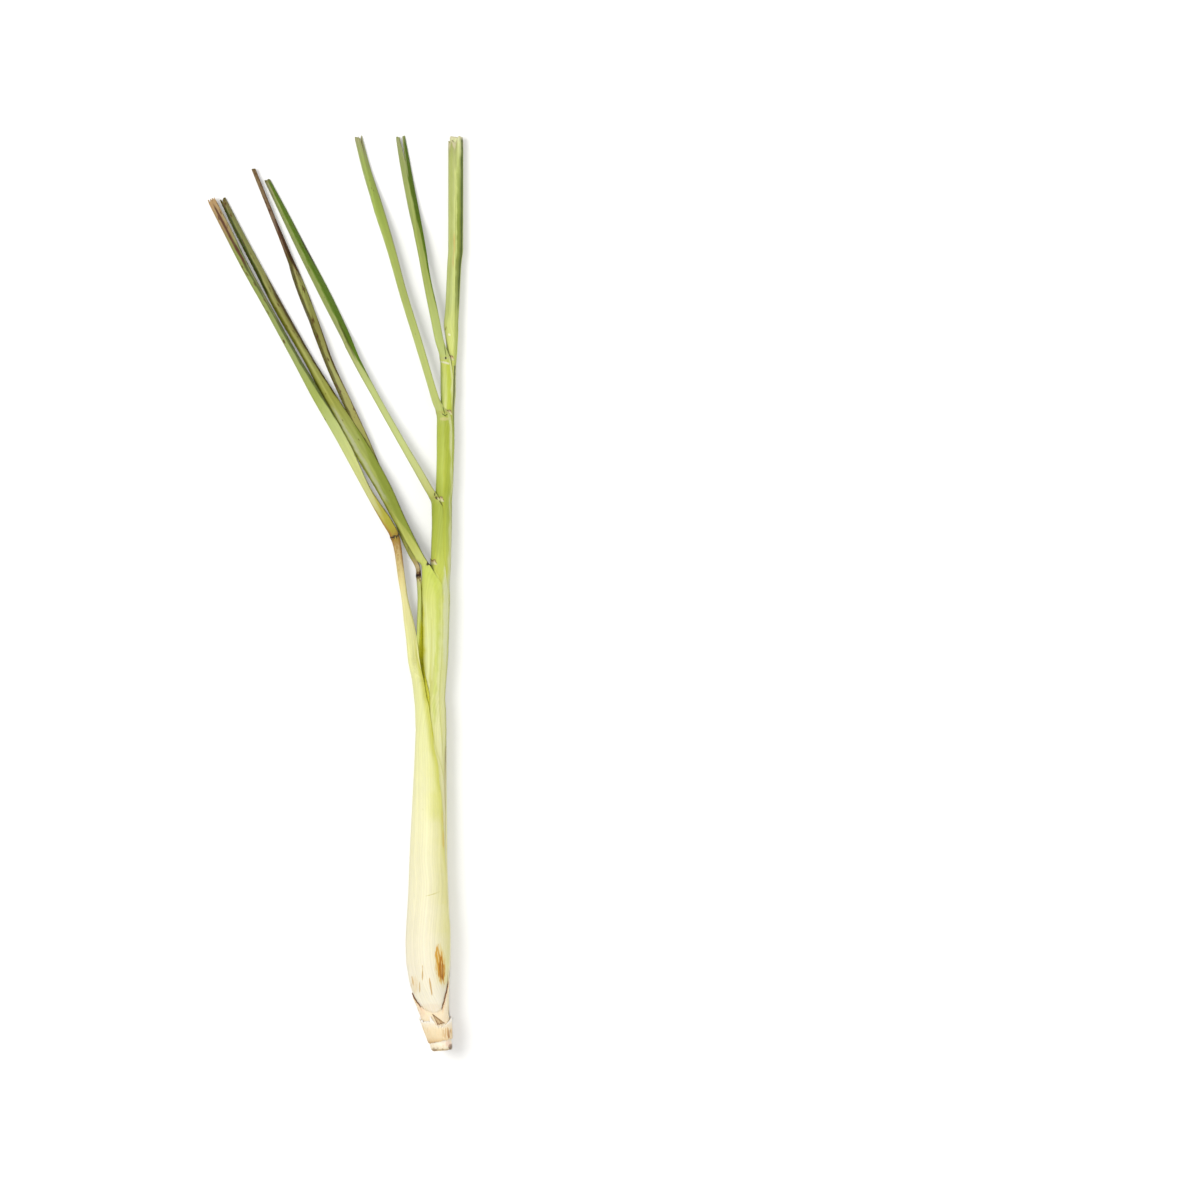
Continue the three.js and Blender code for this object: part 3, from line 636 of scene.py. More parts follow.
class Flow:
    """What comes out of a material's node. Its sums and products make math nodes."""

    def __init__(self, paint, socket):
        self.paint = paint
        self.socket = socket

    def __add__(self, other):
        return self.paint.math("ADD", self, other)

    def __mul__(self, other):
        return self.paint.math("MULTIPLY", self, other)

    def __sub__(self, number):
        return self + -number

    def __rsub__(self, number):
        return self * -1.0 + number

    def step(self, low, high):
        """0 at low and 1 at high, eased. low may be the larger."""
        ends = (low, high, 0.0, 1.0) if low < high else (high, low, 1.0, 0.0)
        return self.paint.flow("MapRange", 0, self, *ends, interpolation_type="SMOOTHSTEP")


class Paint:
    """A material made of nodes. base is its colour, laid on layer by layer."""

    def __init__(self, name, tone=TONE):
        self.tone = tone
        self.mat = bpy.data.materials.new(name)
        self.mat.use_nodes = True
        self.tree = self.mat.node_tree
        self.tree.nodes.clear()
        self.base = None

    def plug(self, socket, value):
        if isinstance(value, Flow):
            self.tree.links.new(value.socket, socket)
        elif isinstance(value, str):
            socket.default_value = colour(value, self.tone)
        elif value is not None:
            socket.default_value = value

    def node(self, kind, *inputs, **settings):
        made = self.tree.nodes.new("ShaderNode" + kind)
        for key, value in settings.items():
            setattr(made, key, value)
        for socket, value in zip(made.inputs, inputs):
            self.plug(socket, value)
        return made

    def flow(self, kind, output, *inputs, **settings):
        return Flow(self, self.node(kind, *inputs, **settings).outputs[output])

    def fields(self, *names):
        return [self.flow("Attribute", "Fac", attribute_name=name) for name in names]

    def math(self, operation, *values):
        return self.flow("Math", 0, *values, operation=operation)

    def place(self):
        return self.flow("TexCoord", "Object")

    def plan(self):
        """Where a point lies as seen from above."""
        split = self.node("SeparateXYZ", self.place())
        return Flow(self, split.outputs[0]), Flow(self, split.outputs[1])

    def noise(self, place, detail=2.0, rough=0.5, scale=1.0):
        if isinstance(place, tuple):
            place = self.flow("CombineXYZ", 0, *place)
        made = self.node("TexNoise")
        for key, value in zip(("Vector", "Scale", "Detail", "Roughness"), (place, scale, detail, rough)):
            self.plug(made.inputs[key], value)
        return Flow(self, made.outputs["Fac"])

    def ramp(self, value, low, high, stops):
        """A colour ramp over stops of (place, colour or grey), where places run from low to high."""
        made = self.node("ValToRGB", self.flow("MapRange", 0, value, low, high))
        elements = made.color_ramp.elements
        stops = sorted(stops)
        while len(elements) < len(stops):
            elements.new(1.0)
        for element, (place, tone) in zip(elements, stops):
            element.position = min(1, max(0, (place - low) / (high - low)))
            element.color = colour(tone, self.tone) if isinstance(tone, str) else (tone, tone, tone, 1)
        return Flow(self, made.outputs["Color"])

    def blend(self, amount, a, b):
        made = self.node("Mix", data_type="RGBA", blend_type="MIX")
        for k, value in zip((0, 6, 7), (amount, a, b)):
            self.plug(made.inputs[k], value)
        return Flow(self, made.outputs[2])

    def over(self, tone, mask, amount=1.0):
        """Lays a colour over the base where mask is 1."""
        self.base = self.blend(mask * amount, self.base, tone)

    def finish(self, roughness, heights, flesh=None, gloss=0.5):
        """heights: (height in mm, strength) pairs, finest last. flesh: subsurface weight, radius by
        colour, scale."""
        shader = self.node("BsdfPrincipled")
        self.plug(shader.inputs["Base Color"], self.base)
        self.plug(shader.inputs["Roughness"], roughness)
        shader.inputs["Specular IOR Level"].default_value = gloss
        if flesh:
            for key, value in zip(("Weight", "Radius", "Scale"), flesh):
                shader.inputs["Subsurface " + key].default_value = value
        normal = None
        for height, strength in heights:
            bump = self.node("Bump")
            bump.inputs["Distance"].default_value = MM
            bump.inputs["Strength"].default_value = strength
            self.plug(bump.inputs["Height"], height)
            self.plug(bump.inputs["Normal"], normal)
            normal = Flow(self, bump.outputs["Normal"])
        self.plug(shader.inputs["Normal"], normal)
        out = self.node("OutputMaterial")
        self.tree.links.new(shader.outputs[0], out.inputs["Surface"])
        return self.mat


def spot(p, x, y, rx, ry, turn=0.0, rag=0.5):
    """1 inside an oval spot at x, y in mm as seen from above, with a ragged streaky edge."""
    at_x, at_y = p.plan()
    dx, dy = at_x - x * MM, at_y - y * MM
    c, s = math.cos(turn * DEG), math.sin(turn * DEG)
    u = (dx * c + dy * s) * (1 / (rx * MM))
    v = (dy * c + dx * -s) * (1 / (ry * MM))
    far = p.math("SQRT", u * u + v * v)
    grain = p.noise((at_x * (1.5 / MM), at_y * (0.3 / MM)))
    return (far + (grain - 0.5) * (2 * rag)).step(1.05, 0.55)


def streaks(p, x, y, rx, ry, turn, fine, cover):
    """1 along thin dried streaks within an oval spot, densest in its middle."""
    at_x, at_y = p.plan()
    lean = at_x + at_y * math.tan(turn * DEG)
    lines = p.noise((lean * (fine / MM), at_y * (0.12 / MM), x + 3 * y), 1.0)
    core = spot(p, x, y, rx, ry, turn, 0.4)
    level = 0.68 - 0.3 * cover
    return core.step(0.0, 0.7) * (lines + core * 0.08).step(level, level + 0.09)


def leaf_material(name, number, places, look):
    """A sheath and its blade. places: where the sheath starts, its collar and the leaf's end, in
    mm along the leaf, as all places are; a blade's are given as shares of it."""
    p = Paint(name)
    low, collar, end = places
    on_blade = lambda stops: [(collar + share * (end - collar), value) for share, value in stops]
    along, across, rim, side, tip, margin_shade = p.fields("along", "across", "rim", "side", "tip", "margin_shade")
    seed = 13.7 * number
    streak = p.noise((across * 0.9, along * 0.012, seed), 3.0, 0.55)
    cloud = p.noise((across * 0.16, along * 0.05, seed + 5))
    grain = p.noise((across * 5.0, along * 0.3, seed + 9))
    mottle = p.noise((across * 1.6, along * 0.7, seed + 15), *FIBRE)
    speck = p.noise((across * 1.1, along * 0.2, seed + 21), 2.0, 0.6)
    drift = along + (cloud - 0.5) * look.get("drift", 8.0)
    front = p.ramp(drift, low, end, look["sheath"] + on_blade(look["blade"]))
    back = p.ramp(drift, low, end, look["sheath_in"] + on_blade(look["blade_in"]))
    p.base = p.blend(side, front, back)
    # a sheath is olive along its margin; where it comes out from under another's, painted olive shade
    # lies beside that one's margin
    if "hem" in look:
        tone, wide, amount = look["hem"]
        hem = rim.step(wide, 0.3) * across.step(0.0, -1.0)
        p.over(tone, hem * (along.step(20, 48) * along.step(168, 120)), amount)
    # painted olive shade beside the margin of the sheath over it
    p.over("#BDBF40", margin_shade, look.get("tuck", 0.6))
    # long marks: the blades' darker right halves, their own green with painted shade where they turn
    # from the light; pale margins with painted highlight, painted sheen and shade; dried margins
    for k, (tone, amount, _, _) in enumerate(look["bands"]):
        (inside,) = p.fields("band_%d" % k)
        p.over(tone, inside * (mottle * 0.56 + 0.72), amount)
    # ribs run the length of the leaf: wide on the sheath, close on the blade
    blade = along.step(collar - 2, collar + 4)
    wide = p.math("SINE", across * (2 * math.pi / look.get("rib", SHEATH_RIB)))
    close = p.math("SINE", across * (2 * math.pi / BLADE_RIB))
    rib = wide * (1.0 - blade) + close * blade
    light = rib * look.get("ribs", 0.03) + (streak - 0.5) * look.get("stripe", 0.3)
    light = light + (grain - 0.5) * 0.16 + (cloud - 0.5) * 0.1 + 1.0
    p.base = p.flow("VectorMath", 0, p.base, None, None, light, operation="SCALE")
    # the collar: a scalded stretch of sheath, then a narrow dark joint
    if "scald" in look:
        start, stop, tone, amount = look["scald"]
        near = (along + (mottle - 0.5) * 14.0).step(start, stop) * along.step(collar + 5, collar + 0.5)
        blotch = (mottle + grain * 0.35).step(0.5, 0.8)
        p.over(tone, near * (blotch + 0.3), amount)
    if "joint" in look:
        wide_mm, tone, amount = look["joint"]
        off = p.math("ABSOLUTE", along - collar + (mottle - 0.5) * 4.5)
        p.over(tone, off.step(wide_mm, wide_mm * 0.4), amount)
    # brown specks and dried margins, the right one darker
    stops = [(low, 0.0), (collar, 0.0)] + on_blade(look.get("specks", [(0.0, 0.0)]))
    hit = speck + p.ramp(along, low, end, stops) * 0.34
    p.over("#5A3A14", hit.step(0.80, 0.86), 0.85)
    edge_wide = (speck - 0.35) * look.get("edge_rag", 0.6) + 0.16
    edge = p.math("LESS_THAN", rim, edge_wide) * (blade * across.step(1.0, -0.5))
    p.over(look.get("edge_tone", "#8A7B2E"), edge, look["edge"])
    for *place, tone, amount in look.get("spots", []):
        p.over(tone, spot(p, *place), amount)
    for *place, tone, amount, fine, cover in look.get("streaks", []):
        p.over(tone, streaks(p, *place, fine, cover), amount)
    # the cut end has dried
    dry = (tip + (streak - 0.5) * 3.0).step(look.get("dry", 1.6), 0.2)
    p.over(look["dry_tone"], dry, 0.85)
    height = rib * 0.5 + grain * 0.7
    return p.finish(streak * 0.2 + 0.4, [(height, 0.07)], (0.08, (1.0, 0.85, 0.3), 0.001), GLOSS)


# ---------------------------------------------------------------- the leaves' looks

STEM_TONES = [
    (-46, "#FFF5DE"), (-30, "#FFF8E0"), (-15, "#FDF5DA"), (0, "#FBF4D4"), (30, "#FAF5CC"),
    (60, "#F7F4C2"), (85, "#F2F1B4"), (108, "#EDEEAA"), (136, "#E6EBA2"), (154, "#DDE37F"),
    (166, "#D0D968"), (184, "#B9C656"), (198, "#AAB84C"), (214, "#C3D060"), (233, "#B8C556"),
    (252, "#D2DB80"), (262, "#CED66E"), (272, "#DDE584"), (292, "#C9D384"), (330, "#C8D084"),
    (358, "#BDC47A"), (368, "#A9AA70"),
]
INSIDE = [(-38, "#EFEBC4"), (120, "#E2E7A6"), (220, "#CBD98A"), (300, "#B9CB74")]
BLADE_IN = [(0.03, "#6E7F2C"), (0.2, "#6C8A2C"), (0.9, "#5F7C26"), (1.0, "#6B6A2A")]
# a pale strip down the stem's right edge: the sheaths' pale margins, with painted highlight where light
# bounces onto the shaded side
PALE_MARGIN_AND_HIGHLIGHT = "#DCE0A6"


def stem_tones(low, high, *extra):
    """The stem's own run of colour from cream to green between two heights, with extra stops."""
    return [(y, tone) for y, tone in STEM_TONES if low <= y <= high] + list(extra)


def between(tone, amount, *rows, soft=BAND_SOFT):
    """A long mark on a leaf. rows: height, then the shares across the leaf where it lies."""
    return tone, amount, rows, soft


def left_of(tone, amount, *rows, **more):
    """A long mark from the leaf's left edge to a share across it."""
    return between(tone, amount, *[(y, -0.2, to) for y, to in rows], **more)


def right_of(tone, amount, *rows, far=1.2, **more):
    """A long mark from a share across the leaf to its right edge."""
    return between(tone, amount, *[(y, share, far) for y, share in rows], **more)


# Each leaf's looks.
# across, step: its columns, and the mm between its stations.
# torn, splits: how ragged its end is, and where it is split: share, depth, width.
# collar: where sheath and blade meet.
# sheath, sheath_in: height and colour, outside and inside; the inside's dark brown at the collar is
# painted shade in the mouth of the sheath. blade, blade_in: the same by shares of the blade, dark at its
# base for the same painted
# shade. drift: how far the colours wander along the leaf.
# hem: a sheath's olive margin: colour, width, amount. tuck: how strong the painted olive shade is beside
# the one over it.
# scald, joint: brown round the collar: where or how wide, colour, amount.
# rib, ribs, stripe: pitch of a sheath's ribs, and how light and dark ribs and streaks are.
# specks: share of the blade and how many. bands: long marks, one call each.
# spots, streaks: x, y, half width, half length, turn, colour, amount; then fineness and cover.
# edge, edge_tone, edge_rag: the dried line along the blade's margins: amount, colour, raggedness.
# dry, dry_tone: how far the cut end has dried, and its colour.
LOOKS = {}
LOOKS["leaf_1"] = dict(
    across=73, torn=1.8, splits=[(0.3, 3.0, 0.25)], collar=183.5,
    sheath=stem_tones(-46, 110, (136, "#EBEAA2"), (154, "#F0E8A6"), (166, "#E8D995"),
        (174, "#D8C286"), (182, "#BB985C")),
    blade=[(0.01, "#AF8C3E"), (0.05, "#BDB552"), (0.10, "#CBCA86"), (0.22, "#CFD587"),
        (0.33, "#BDC97C"), (0.42, "#A5B25A"), (0.55, "#9DA963"), (0.75, "#93A054"),
        (0.85, "#929A50"), (0.91, "#A0885A"), (1.0, "#B99C70")],
    scald=(158, 182, "#A07830", 0.55), joint=(0.85, "#321604", 0.97),
    sheath_in=INSIDE[:2] + [(150, "#D9C778"), (182, "#7A4E1E")],
    blade_in=[(0.03, "#5A3A16")] + BLADE_IN[1:3] + [(1.0, "#7A4A24")],
    specks=[(0.02, 0.3), (0.1, 0.2), (0.3, 0.2), (0.5, 0.35), (0.85, 0.6), (1.0, 0.7)],
    bands=[
        right_of("#B5AE3C", 0.85, (184, 0.3), (190, 0.36), (197, 0.62), (204, 0.9)),
        # the blade's right half: its own darker green, with painted shade where it turns from the light
        right_of("#4E5A26", 0.9, (240, 0.9), (255, 0.7), (274, 0.62), (292, 0.62), (308, 0.46),
            (316, 0.66)),
        between("#5A3416", 0.95, (311, 0.45, 0.8), (320, 0.36, 0.66), (329, 0.34, 0.62),
            (334, 0.4, 0.6)),
        between("#A9A878", 0.5, (286, 0.8, 0.94), (330, 0.8, 0.94)),
        # yellow-green down the right of the bulb and stem: painted shade, the tint of the side turned
        # from the light
        right_of("#EEEA90", 0.85, (-20, 0.9), (0, 0.82), (40, 0.78), (64, 0.72), far=1.5, soft=0.34),
        right_of("#E6E780", 0.6, (56, 0.55), (104, 0.5), far=1.1, soft=0.3),
        right_of("#8A5A1C", 0.7, (172, 0.85), (182, 0.8)),
        left_of("#A9803A", 0.6, (184, 0.22), (196, 0.12)),
    ],
    spots=[
        (5.0, -13.5, 2.8, 10.5, 3, "#F1D98E", 0.7), (5.3, -15.2, 1.7, 7.5, 5, "#E2B04A", 0.6),
        (5.5, -16.0, 0.9, 4.6, 4, "#B9721E", 0.5), (0.4, -33.0, 6.0, 2.4, 0, "#F5DFBE", 0.35),
        (-6.6, -22.5, 1.8, 5.0, 0, "#F4DEB0", 0.5),
        (1.0, 19.0, 3.4, 0.26, 14, "#D9D08C", 0.75), (3.2, 19.9, 2.4, 0.16, 16, "#DDD695", 0.6),
        (6.6, 53.0, 0.9, 6.0, 4, "#E6C766", 0.6), (6.3, 44.0, 0.6, 5.0, 2, "#E2B95C", 0.5),
    ],
    streaks=[
        (4.8, -13.0, 2.3, 11.0, 6, "#E0A63A", 0.85, 1.9, 0.6),
        (5.1, -14.8, 1.7, 8.0, 5, "#C07A18", 0.9, 2.4, 0.45),
        (5.4, -15.4, 1.3, 6.0, 4, "#8E4A08", 0.8, 3.2, 0.36),
        (3.4, -9.0, 0.35, 4.6, 0, "#D6A23E", 0.7, 1.2, 0.9),
        (-3.2, -16.8, 0.35, 4.2, 0, "#CFA452", 0.75, 1.2, 0.95),
        (0.5, -23.0, 0.5, 5.2, 9, "#CFA04E", 0.75, 1.2, 0.95),
        (-4.5, -23.4, 0.35, 3.0, 0, "#D0A75C", 0.7, 1.2, 0.95),
        (-7.4, -23.0, 1.5, 5.0, 6, "#D9A85C", 0.75, 1.9, 0.5),
    ],
    hem=("#C2C23A", 3.2, 0.85), drift=10.0, dry=4.0, dry_tone="#B89668", ribs=0.02,
    edge=0.5, edge_tone="#4A4420",
)
LOOKS["leaf_2"] = dict(
    across=45, torn=1.2,
    sheath=stem_tones(-46, 108, (125, "#DADF8C"), (140, "#CFD977"), (158, "#C6CF74")),
    blade=[(0.008, "#D9C79A"), (0.022, "#B9A56C"), (0.04, "#A3A352"), (0.2, "#9DA34C"),
        (0.40, "#A39F58"), (0.5, "#A6A765"), (0.6, "#989453"), (0.70, "#9CA058"),
        (0.755, "#A19A62"), (0.775, "#6F5836"), (0.86, "#7A6450"), (1.0, "#84704E")],
    collar=165.5, scald=(162, 165, "#6A4418", 0.8), joint=(1.2, "#2E1608", 0.97),
    sheath_in=INSIDE[:2] + [(155, "#8A6A34"), (163, "#3A240E")],
    blade_in=[(0.03, "#3A240E"), (0.12, "#6B7A2C"), (0.5, "#6A722E"), (1.0, "#54341C")],
    specks=[(0.1, 0.5), (0.5, 0.55), (1.0, 0.7)],
    bands=[
        right_of("#C6C410", 0.9, (92, -0.2), (112, 0.0), (128, 0.2), (142, 0.5), soft=0.25),
        # a dark olive line at the strip's right: leaf 2's olive, darkened with painted shade in the
        # crease beside leaf 3
        right_of("#8A8A0A", 0.85, (138, 0.8), (146, 0.74), (160, 0.72)),
        between("#57521F", 0.9, (236, -0.2, 0.22), (255, -0.2, 0.4), (283, -0.2, 0.4),
            (298, -0.2, 0.26), (305, -0.2, 0.45), (311, 0.1, 0.6)),
        right_of("#4E4420", 0.85, (255, 0.86), (262, 0.78), (270, 0.82), (280, 0.92)),
        between("#3F2C12", 0.8, (306, 0.75, 1.2), (316, 0.35, 0.8), (326, 0.5, 1.0)),
    ],
    edge=0.7, edge_tone="#4A2A12", edge_rag=0.9, dry=1.0, dry_tone="#6E5A3A",
)
LOOKS["leaf_3"] = dict(
    across=57, torn=1.0, splits=[(0.25, 2.0, 0.2)],
    sheath=stem_tones(0, 160, (167, "#CFDC66")),
    collar=171.5,
    blade=[(0.01, "#CCD277"), (0.04, "#C4C86A"), (0.10, "#B3B95E"), (0.15, "#AAB058"),
        (0.22, "#A4AE54"), (0.35, "#A5AE60"), (0.46, "#A6A850"), (0.55, "#A9AC60"),
        (0.66, "#969450"), (0.8, "#9C9C5C"), (0.93, "#8C9056"), (1.0, "#857A4C")],
    sheath_in=INSIDE[:2] + [(160, "#B9B866"), (171, "#4A3214")],
    blade_in=[(0.03, "#4A3214")] + BLADE_IN[1:],
    specks=[(0.02, 0.1), (0.3, 0.4), (0.5, 0.45), (0.9, 0.5), (1.0, 0.6)],
    bands=[
        # the blade's right half: its own darker green, with painted shade where it turns from the light
        right_of("#8F9C42", 0.85, (172, 0.97), (179, 0.88), (184, 0.72), (191, 0.42), (199, 0.22),
            (209, 0.42), (218, 0.62), (232, 0.86)),
        left_of("#74772A", 0.85, (176, 0.12), (200, 0.10), (222, 0.14), (246, 0.2), (264, 0.24),
            (283, 0.3), (296, 0.2)),
        # a grey sheen down the blade: painted reflection of the bright sky
        between("#C4C6A6", 0.6, (203, 0.14, 0.34), (220, 0.16, 0.36), (240, 0.24, 0.4)),
        between("#454F12", 0.95, (297, -0.2, 0.3), (303, -0.2, 0.4), (320, 0.1, 0.46),
            (329, 0.14, 0.44), (337, -0.2, 0.4)),
        right_of("#52401F", 0.9, (250, 0.9), (262, 0.84), (280, 0.78), (294, 0.72), (300, 0.86)),
        between("#CAD65C", 0.6, (100, 0.5, 0.62), (131, 0.5, 0.64), (150, 0.5, 0.66),
            (162, 0.46, 0.62)),
        between("#E9EDB4", 0.5, (110, 0.06, 0.18), (150, 0.06, 0.16)),
        # bright olive on the left flank: painted light shining through the leaves into the slot beside
        # leaf 2
        left_of("#D2D012", 0.9, (92, 0.1), (130, 0.08), (150, 0.05), soft=0.1),
    ],
    edge=0.8, edge_tone="#44400F", dry=0.9, dry_tone="#6A5E34",
)
LOOKS["leaf_4"] = dict(
    torn=1.0,
    sheath=stem_tones(60, 200), collar=201.5, joint=(0.45, "#A8A050", 0.5),
    blade=[(0.02, "#C6C87A"), (0.06, "#C8CE84"), (0.2, "#C6D084"), (0.36, "#BDC87C"),
        (0.48, "#A8AF6C"), (0.6, "#A2AF66"), (0.75, "#9CAB62"), (0.92, "#96A360"),
        (1.0, "#8C8A62")],
    sheath_in=INSIDE[:3] + [(192, "#A8A85A"), (200, "#33200E")],
    blade_in=[(0.03, "#33200E")] + BLADE_IN[1:],
    specks=[(0.1, 0.1), (0.4, 0.25), (0.7, 0.4), (1.0, 0.5)],
    bands=[
        # the blade's right half: its own darker green, with painted shade where it turns from the light
        right_of("#5E7A14", 0.97, (258, 0.9), (264, 0.66), (274, 0.44), (292, 0.42), (311, 0.42),
            (332, 0.42), (346, 0.55), (354, 0.6)),
        right_of("#3A2A10", 0.9, (311, 0.92), (316, 0.84), (321, 0.92)),
        between("#4A4A1E", 0.6, (268, 0.4, 0.6), (276, 0.38, 0.62), (280, 0.4, 0.55)),
        between("#AEBA4C", 0.5, (178, 0.2, 0.5), (198, 0.25, 0.6)),
        # pale right edge of the sheath: its pale margin, with painted highlight where light bounces onto
        # the stem's shaded side
        between("#E4E8B8", 0.85, (128, 0.8, 0.98), (150, 0.72, 0.98), (168, 0.7, 0.95),
            (178, 0.84, 0.97)),
    ],
    edge=0.4, edge_tone="#5A5A22", dry=1.0, dry_tone="#7C7846",
)
LOOKS["leaf_5"] = dict(
    torn=1.6, splits=[(-0.42, 9.0, 0.13)],
    sheath=stem_tones(0, 233), collar=240.5, joint=(0.5, "#B3A45C", 0.5),
    blade=[(0.02, "#BFC878"), (0.08, "#BDC774"), (0.25, "#B8C470"), (0.42, "#AAB662"),
        (0.6, "#A6B45C"), (0.75, "#A4B65A"), (0.92, "#9EAE5C"), (1.0, "#A3A774")],
    sheath_in=INSIDE + [(238, "#33240E")],
    blade_in=[(0.03, "#33240E")] + BLADE_IN[1:],
    specks=[(0.1, 0.1), (0.6, 0.2), (1.0, 0.4)],
    bands=[
        right_of(PALE_MARGIN_AND_HIGHLIGHT, 0.85, (140, 0.9), (170, 0.88), (205, 0.88), (236, 0.84)),
        between("#A4B038", 0.6, (205, 0.5, 0.82), (238, 0.5, 0.8)),
        right_of("#9C9A7C", 0.55, (300, 0.92), (330, 0.9), (352, 0.92)),
        left_of("#DDE6AE", 0.45, (246, 0.08), (360, 0.08)),
    ],
    edge=0.35, edge_tone="#6A6A42", dry=1.2, dry_tone="#A9A878",
)
LOOKS["leaf_6"] = dict(
    torn=1.4, splits=[(-0.12, 12.0, 0.2)],
    sheath=stem_tones(125, 262), collar=265.5, joint=(0.45, "#C7C09A", 0.6),
    blade=[(0.02, "#BCC878"), (0.10, "#B9C676"), (0.35, "#A8B460"), (0.6, "#A3B05E"),
        (0.75, "#A6B268"), (0.9, "#9DA865"), (1.0, "#A5A878")],
    sheath_in=INSIDE + [(262, "#33240E")],
    blade_in=[(0.03, "#33240E")] + BLADE_IN[1:],
    specks=[(0.1, 0.1), (0.6, 0.2), (1.0, 0.4)],
    bands=[
        right_of(PALE_MARGIN_AND_HIGHLIGHT, 0.85, (205, 0.9), (235, 0.86), (262, 0.84)),
        left_of("#93A24C", 0.7, (243, 0.16), (263, 0.16)),
        between("#BCC93C", 0.7, (232, 0.52, 0.86), (262, 0.54, 0.86)),
        between("#E6E3A8", 0.6, (224, 0.30, 0.42), (246, 0.34, 0.46)),
        # the blade's right half: its own darker green, with painted shade where it turns from the light
        right_of("#5E7812", 0.95, (290, 0.94), (311, 0.78), (329, 0.62), (347, 0.54), (366, 0.5)),
    ],
    edge=0.3, edge_tone="#5A6A2A", dry=1.2, dry_tone="#A0A86C",
)
LOOKS["leaf_7"] = dict(
    collar=366.3, across=61, step=1.2, torn=1.2,
    splits=[(-0.9, 1.6, 0.03), (-0.6, 2.0, 0.04), (-0.3, 1.0, 0.1)],
    sheath=stem_tones(200, 368), blade=[], sheath_in=INSIDE[2:] + [(340, "#7F9A3A")], blade_in=[],
    bands=[
        right_of(PALE_MARGIN_AND_HIGHLIGHT, 0.8, (240, 0.9), (262, 0.9)),
        # a bright line down the bundle: painted highlight along the margin of the leaf's fold
        between("#DDE58E", 0.75, (272, 0.56, 0.7), (290, 0.5, 0.62), (325, 0.42, 0.56),
            (350, 0.45, 0.6)),
        between("#A9B560", 0.5, (286, 0.2, 0.34), (362, 0.18, 0.3)),
        between("#CF9E4C", 0.6, (311, 0.38, 0.46), (320, 0.38, 0.46)),
    ],
    edge=0.0, rib=0.8, ribs=0.06, dry_tone="#D4CDA2", tuck=0.3,
)
LOOKS["heart_leaf"] = dict(
    sheath=[(262, "#C8D670"), (284, "#BCC76C"), (292, "#A3AE5F"), (310, "#8C9848"), (330, "#96A44C"),
        (347, "#A7B462"), (357, "#BCC676"), (364, "#DDE3A0"), (368, "#F3F3C5")],
    sheath_in=[(262, "#A9BC5C"), (368, "#AEB872")], blade=[], blade_in=[],
    bands=[
        # a bright line down the rolled leaf: its pale midrib, with a painted highlight along it
        between("#DCE68E", 0.8, (272, 0.42, 0.66), (300, 0.44, 0.62), (325, 0.36, 0.56),
            (350, 0.44, 0.6), (362, 0.46, 0.6)),
        # its right flank darker green: painted shade on the side turned from the light
        right_of("#54681C", 0.95, (292, 0.9), (312, 0.84), (366, 0.86), soft=0.1),
    ],
    edge=0.5, rib=0.8, ribs=0.06, stripe=0.4, dry=2.2, dry_tone="#D9D3A8",
)

# marks round the collars: x, y, half width, half length, turn, tone, strength, and whose they are.
# The near-black ones are painted shade in the hollow where a blade leaves the stem.
COLLAR_MARKS = [
    (-0.7, 171.0, 0.95, 1.5, -38, "#33200C", 0.95, (3, 4)),
    (-4.0, 178.0, 0.3, 7.0, 30, "#3E3A14", 0.6, (3,)),
    (-4.6, 166.8, 0.5, 2.2, -12, "#4E2E12", 0.8, (2,)),
    (3.0, 201.0, 1.15, 0.75, -40, "#4A3414", 0.9, (4, 5)),
    (2.2, 202.6, 0.4, 1.0, 0, "#3A2810", 0.8, (4,)),
    (5.1, 198.6, 0.28, 1.9, 32, "#4A3A18", 0.8, (4, 5)),
    (4.2, 200.4, 1.4, 0.4, -38, "#E6E0B0", 0.6, (4, 5)),
    (6.4, 239.2, 0.25, 1.2, 55, "#3A2810", 0.9, (5, 6)),
    (7.6, 239.2, 0.22, 0.9, -50, "#3A2810", 0.85, (5, 6)),
    (6.4, 241.2, 0.25, 2.4, 14, "#4E5A1C", 0.8, (5, 6)),
    (6.6, 237.4, 2.6, 1.0, 0, "#DDCF92", 0.55, (5,)),
    (7.3, 265.4, 0.45, 0.8, 0, "#2E1E0C", 0.95, (6, 7)),
    (7.0, 268.6, 0.22, 3.0, 10, "#4E5A1C", 0.8, (6, 7)),
    (7.2, 263.2, 2.7, 0.55, -14, "#E9E5C6", 0.8, (6, 7)),
    (8.8, 276.2, 0.8, 0.6, -30, "#F4F0CC", 0.9, (7,)),
    (6.9, 274.0, 0.3, 2.0, 10, "#8A6A30", 0.7, (7,)),
    (7.2, 279.0, 0.35, 1.2, -20, "#7A6A2C", 0.6, (7,)),
]
for *mark, owners in COLLAR_MARKS:
    for owner in owners:
        LOOKS["leaf_%d" % owner].setdefault("spots", []).append(mark)


# ---------------------------------------------------------------- the base

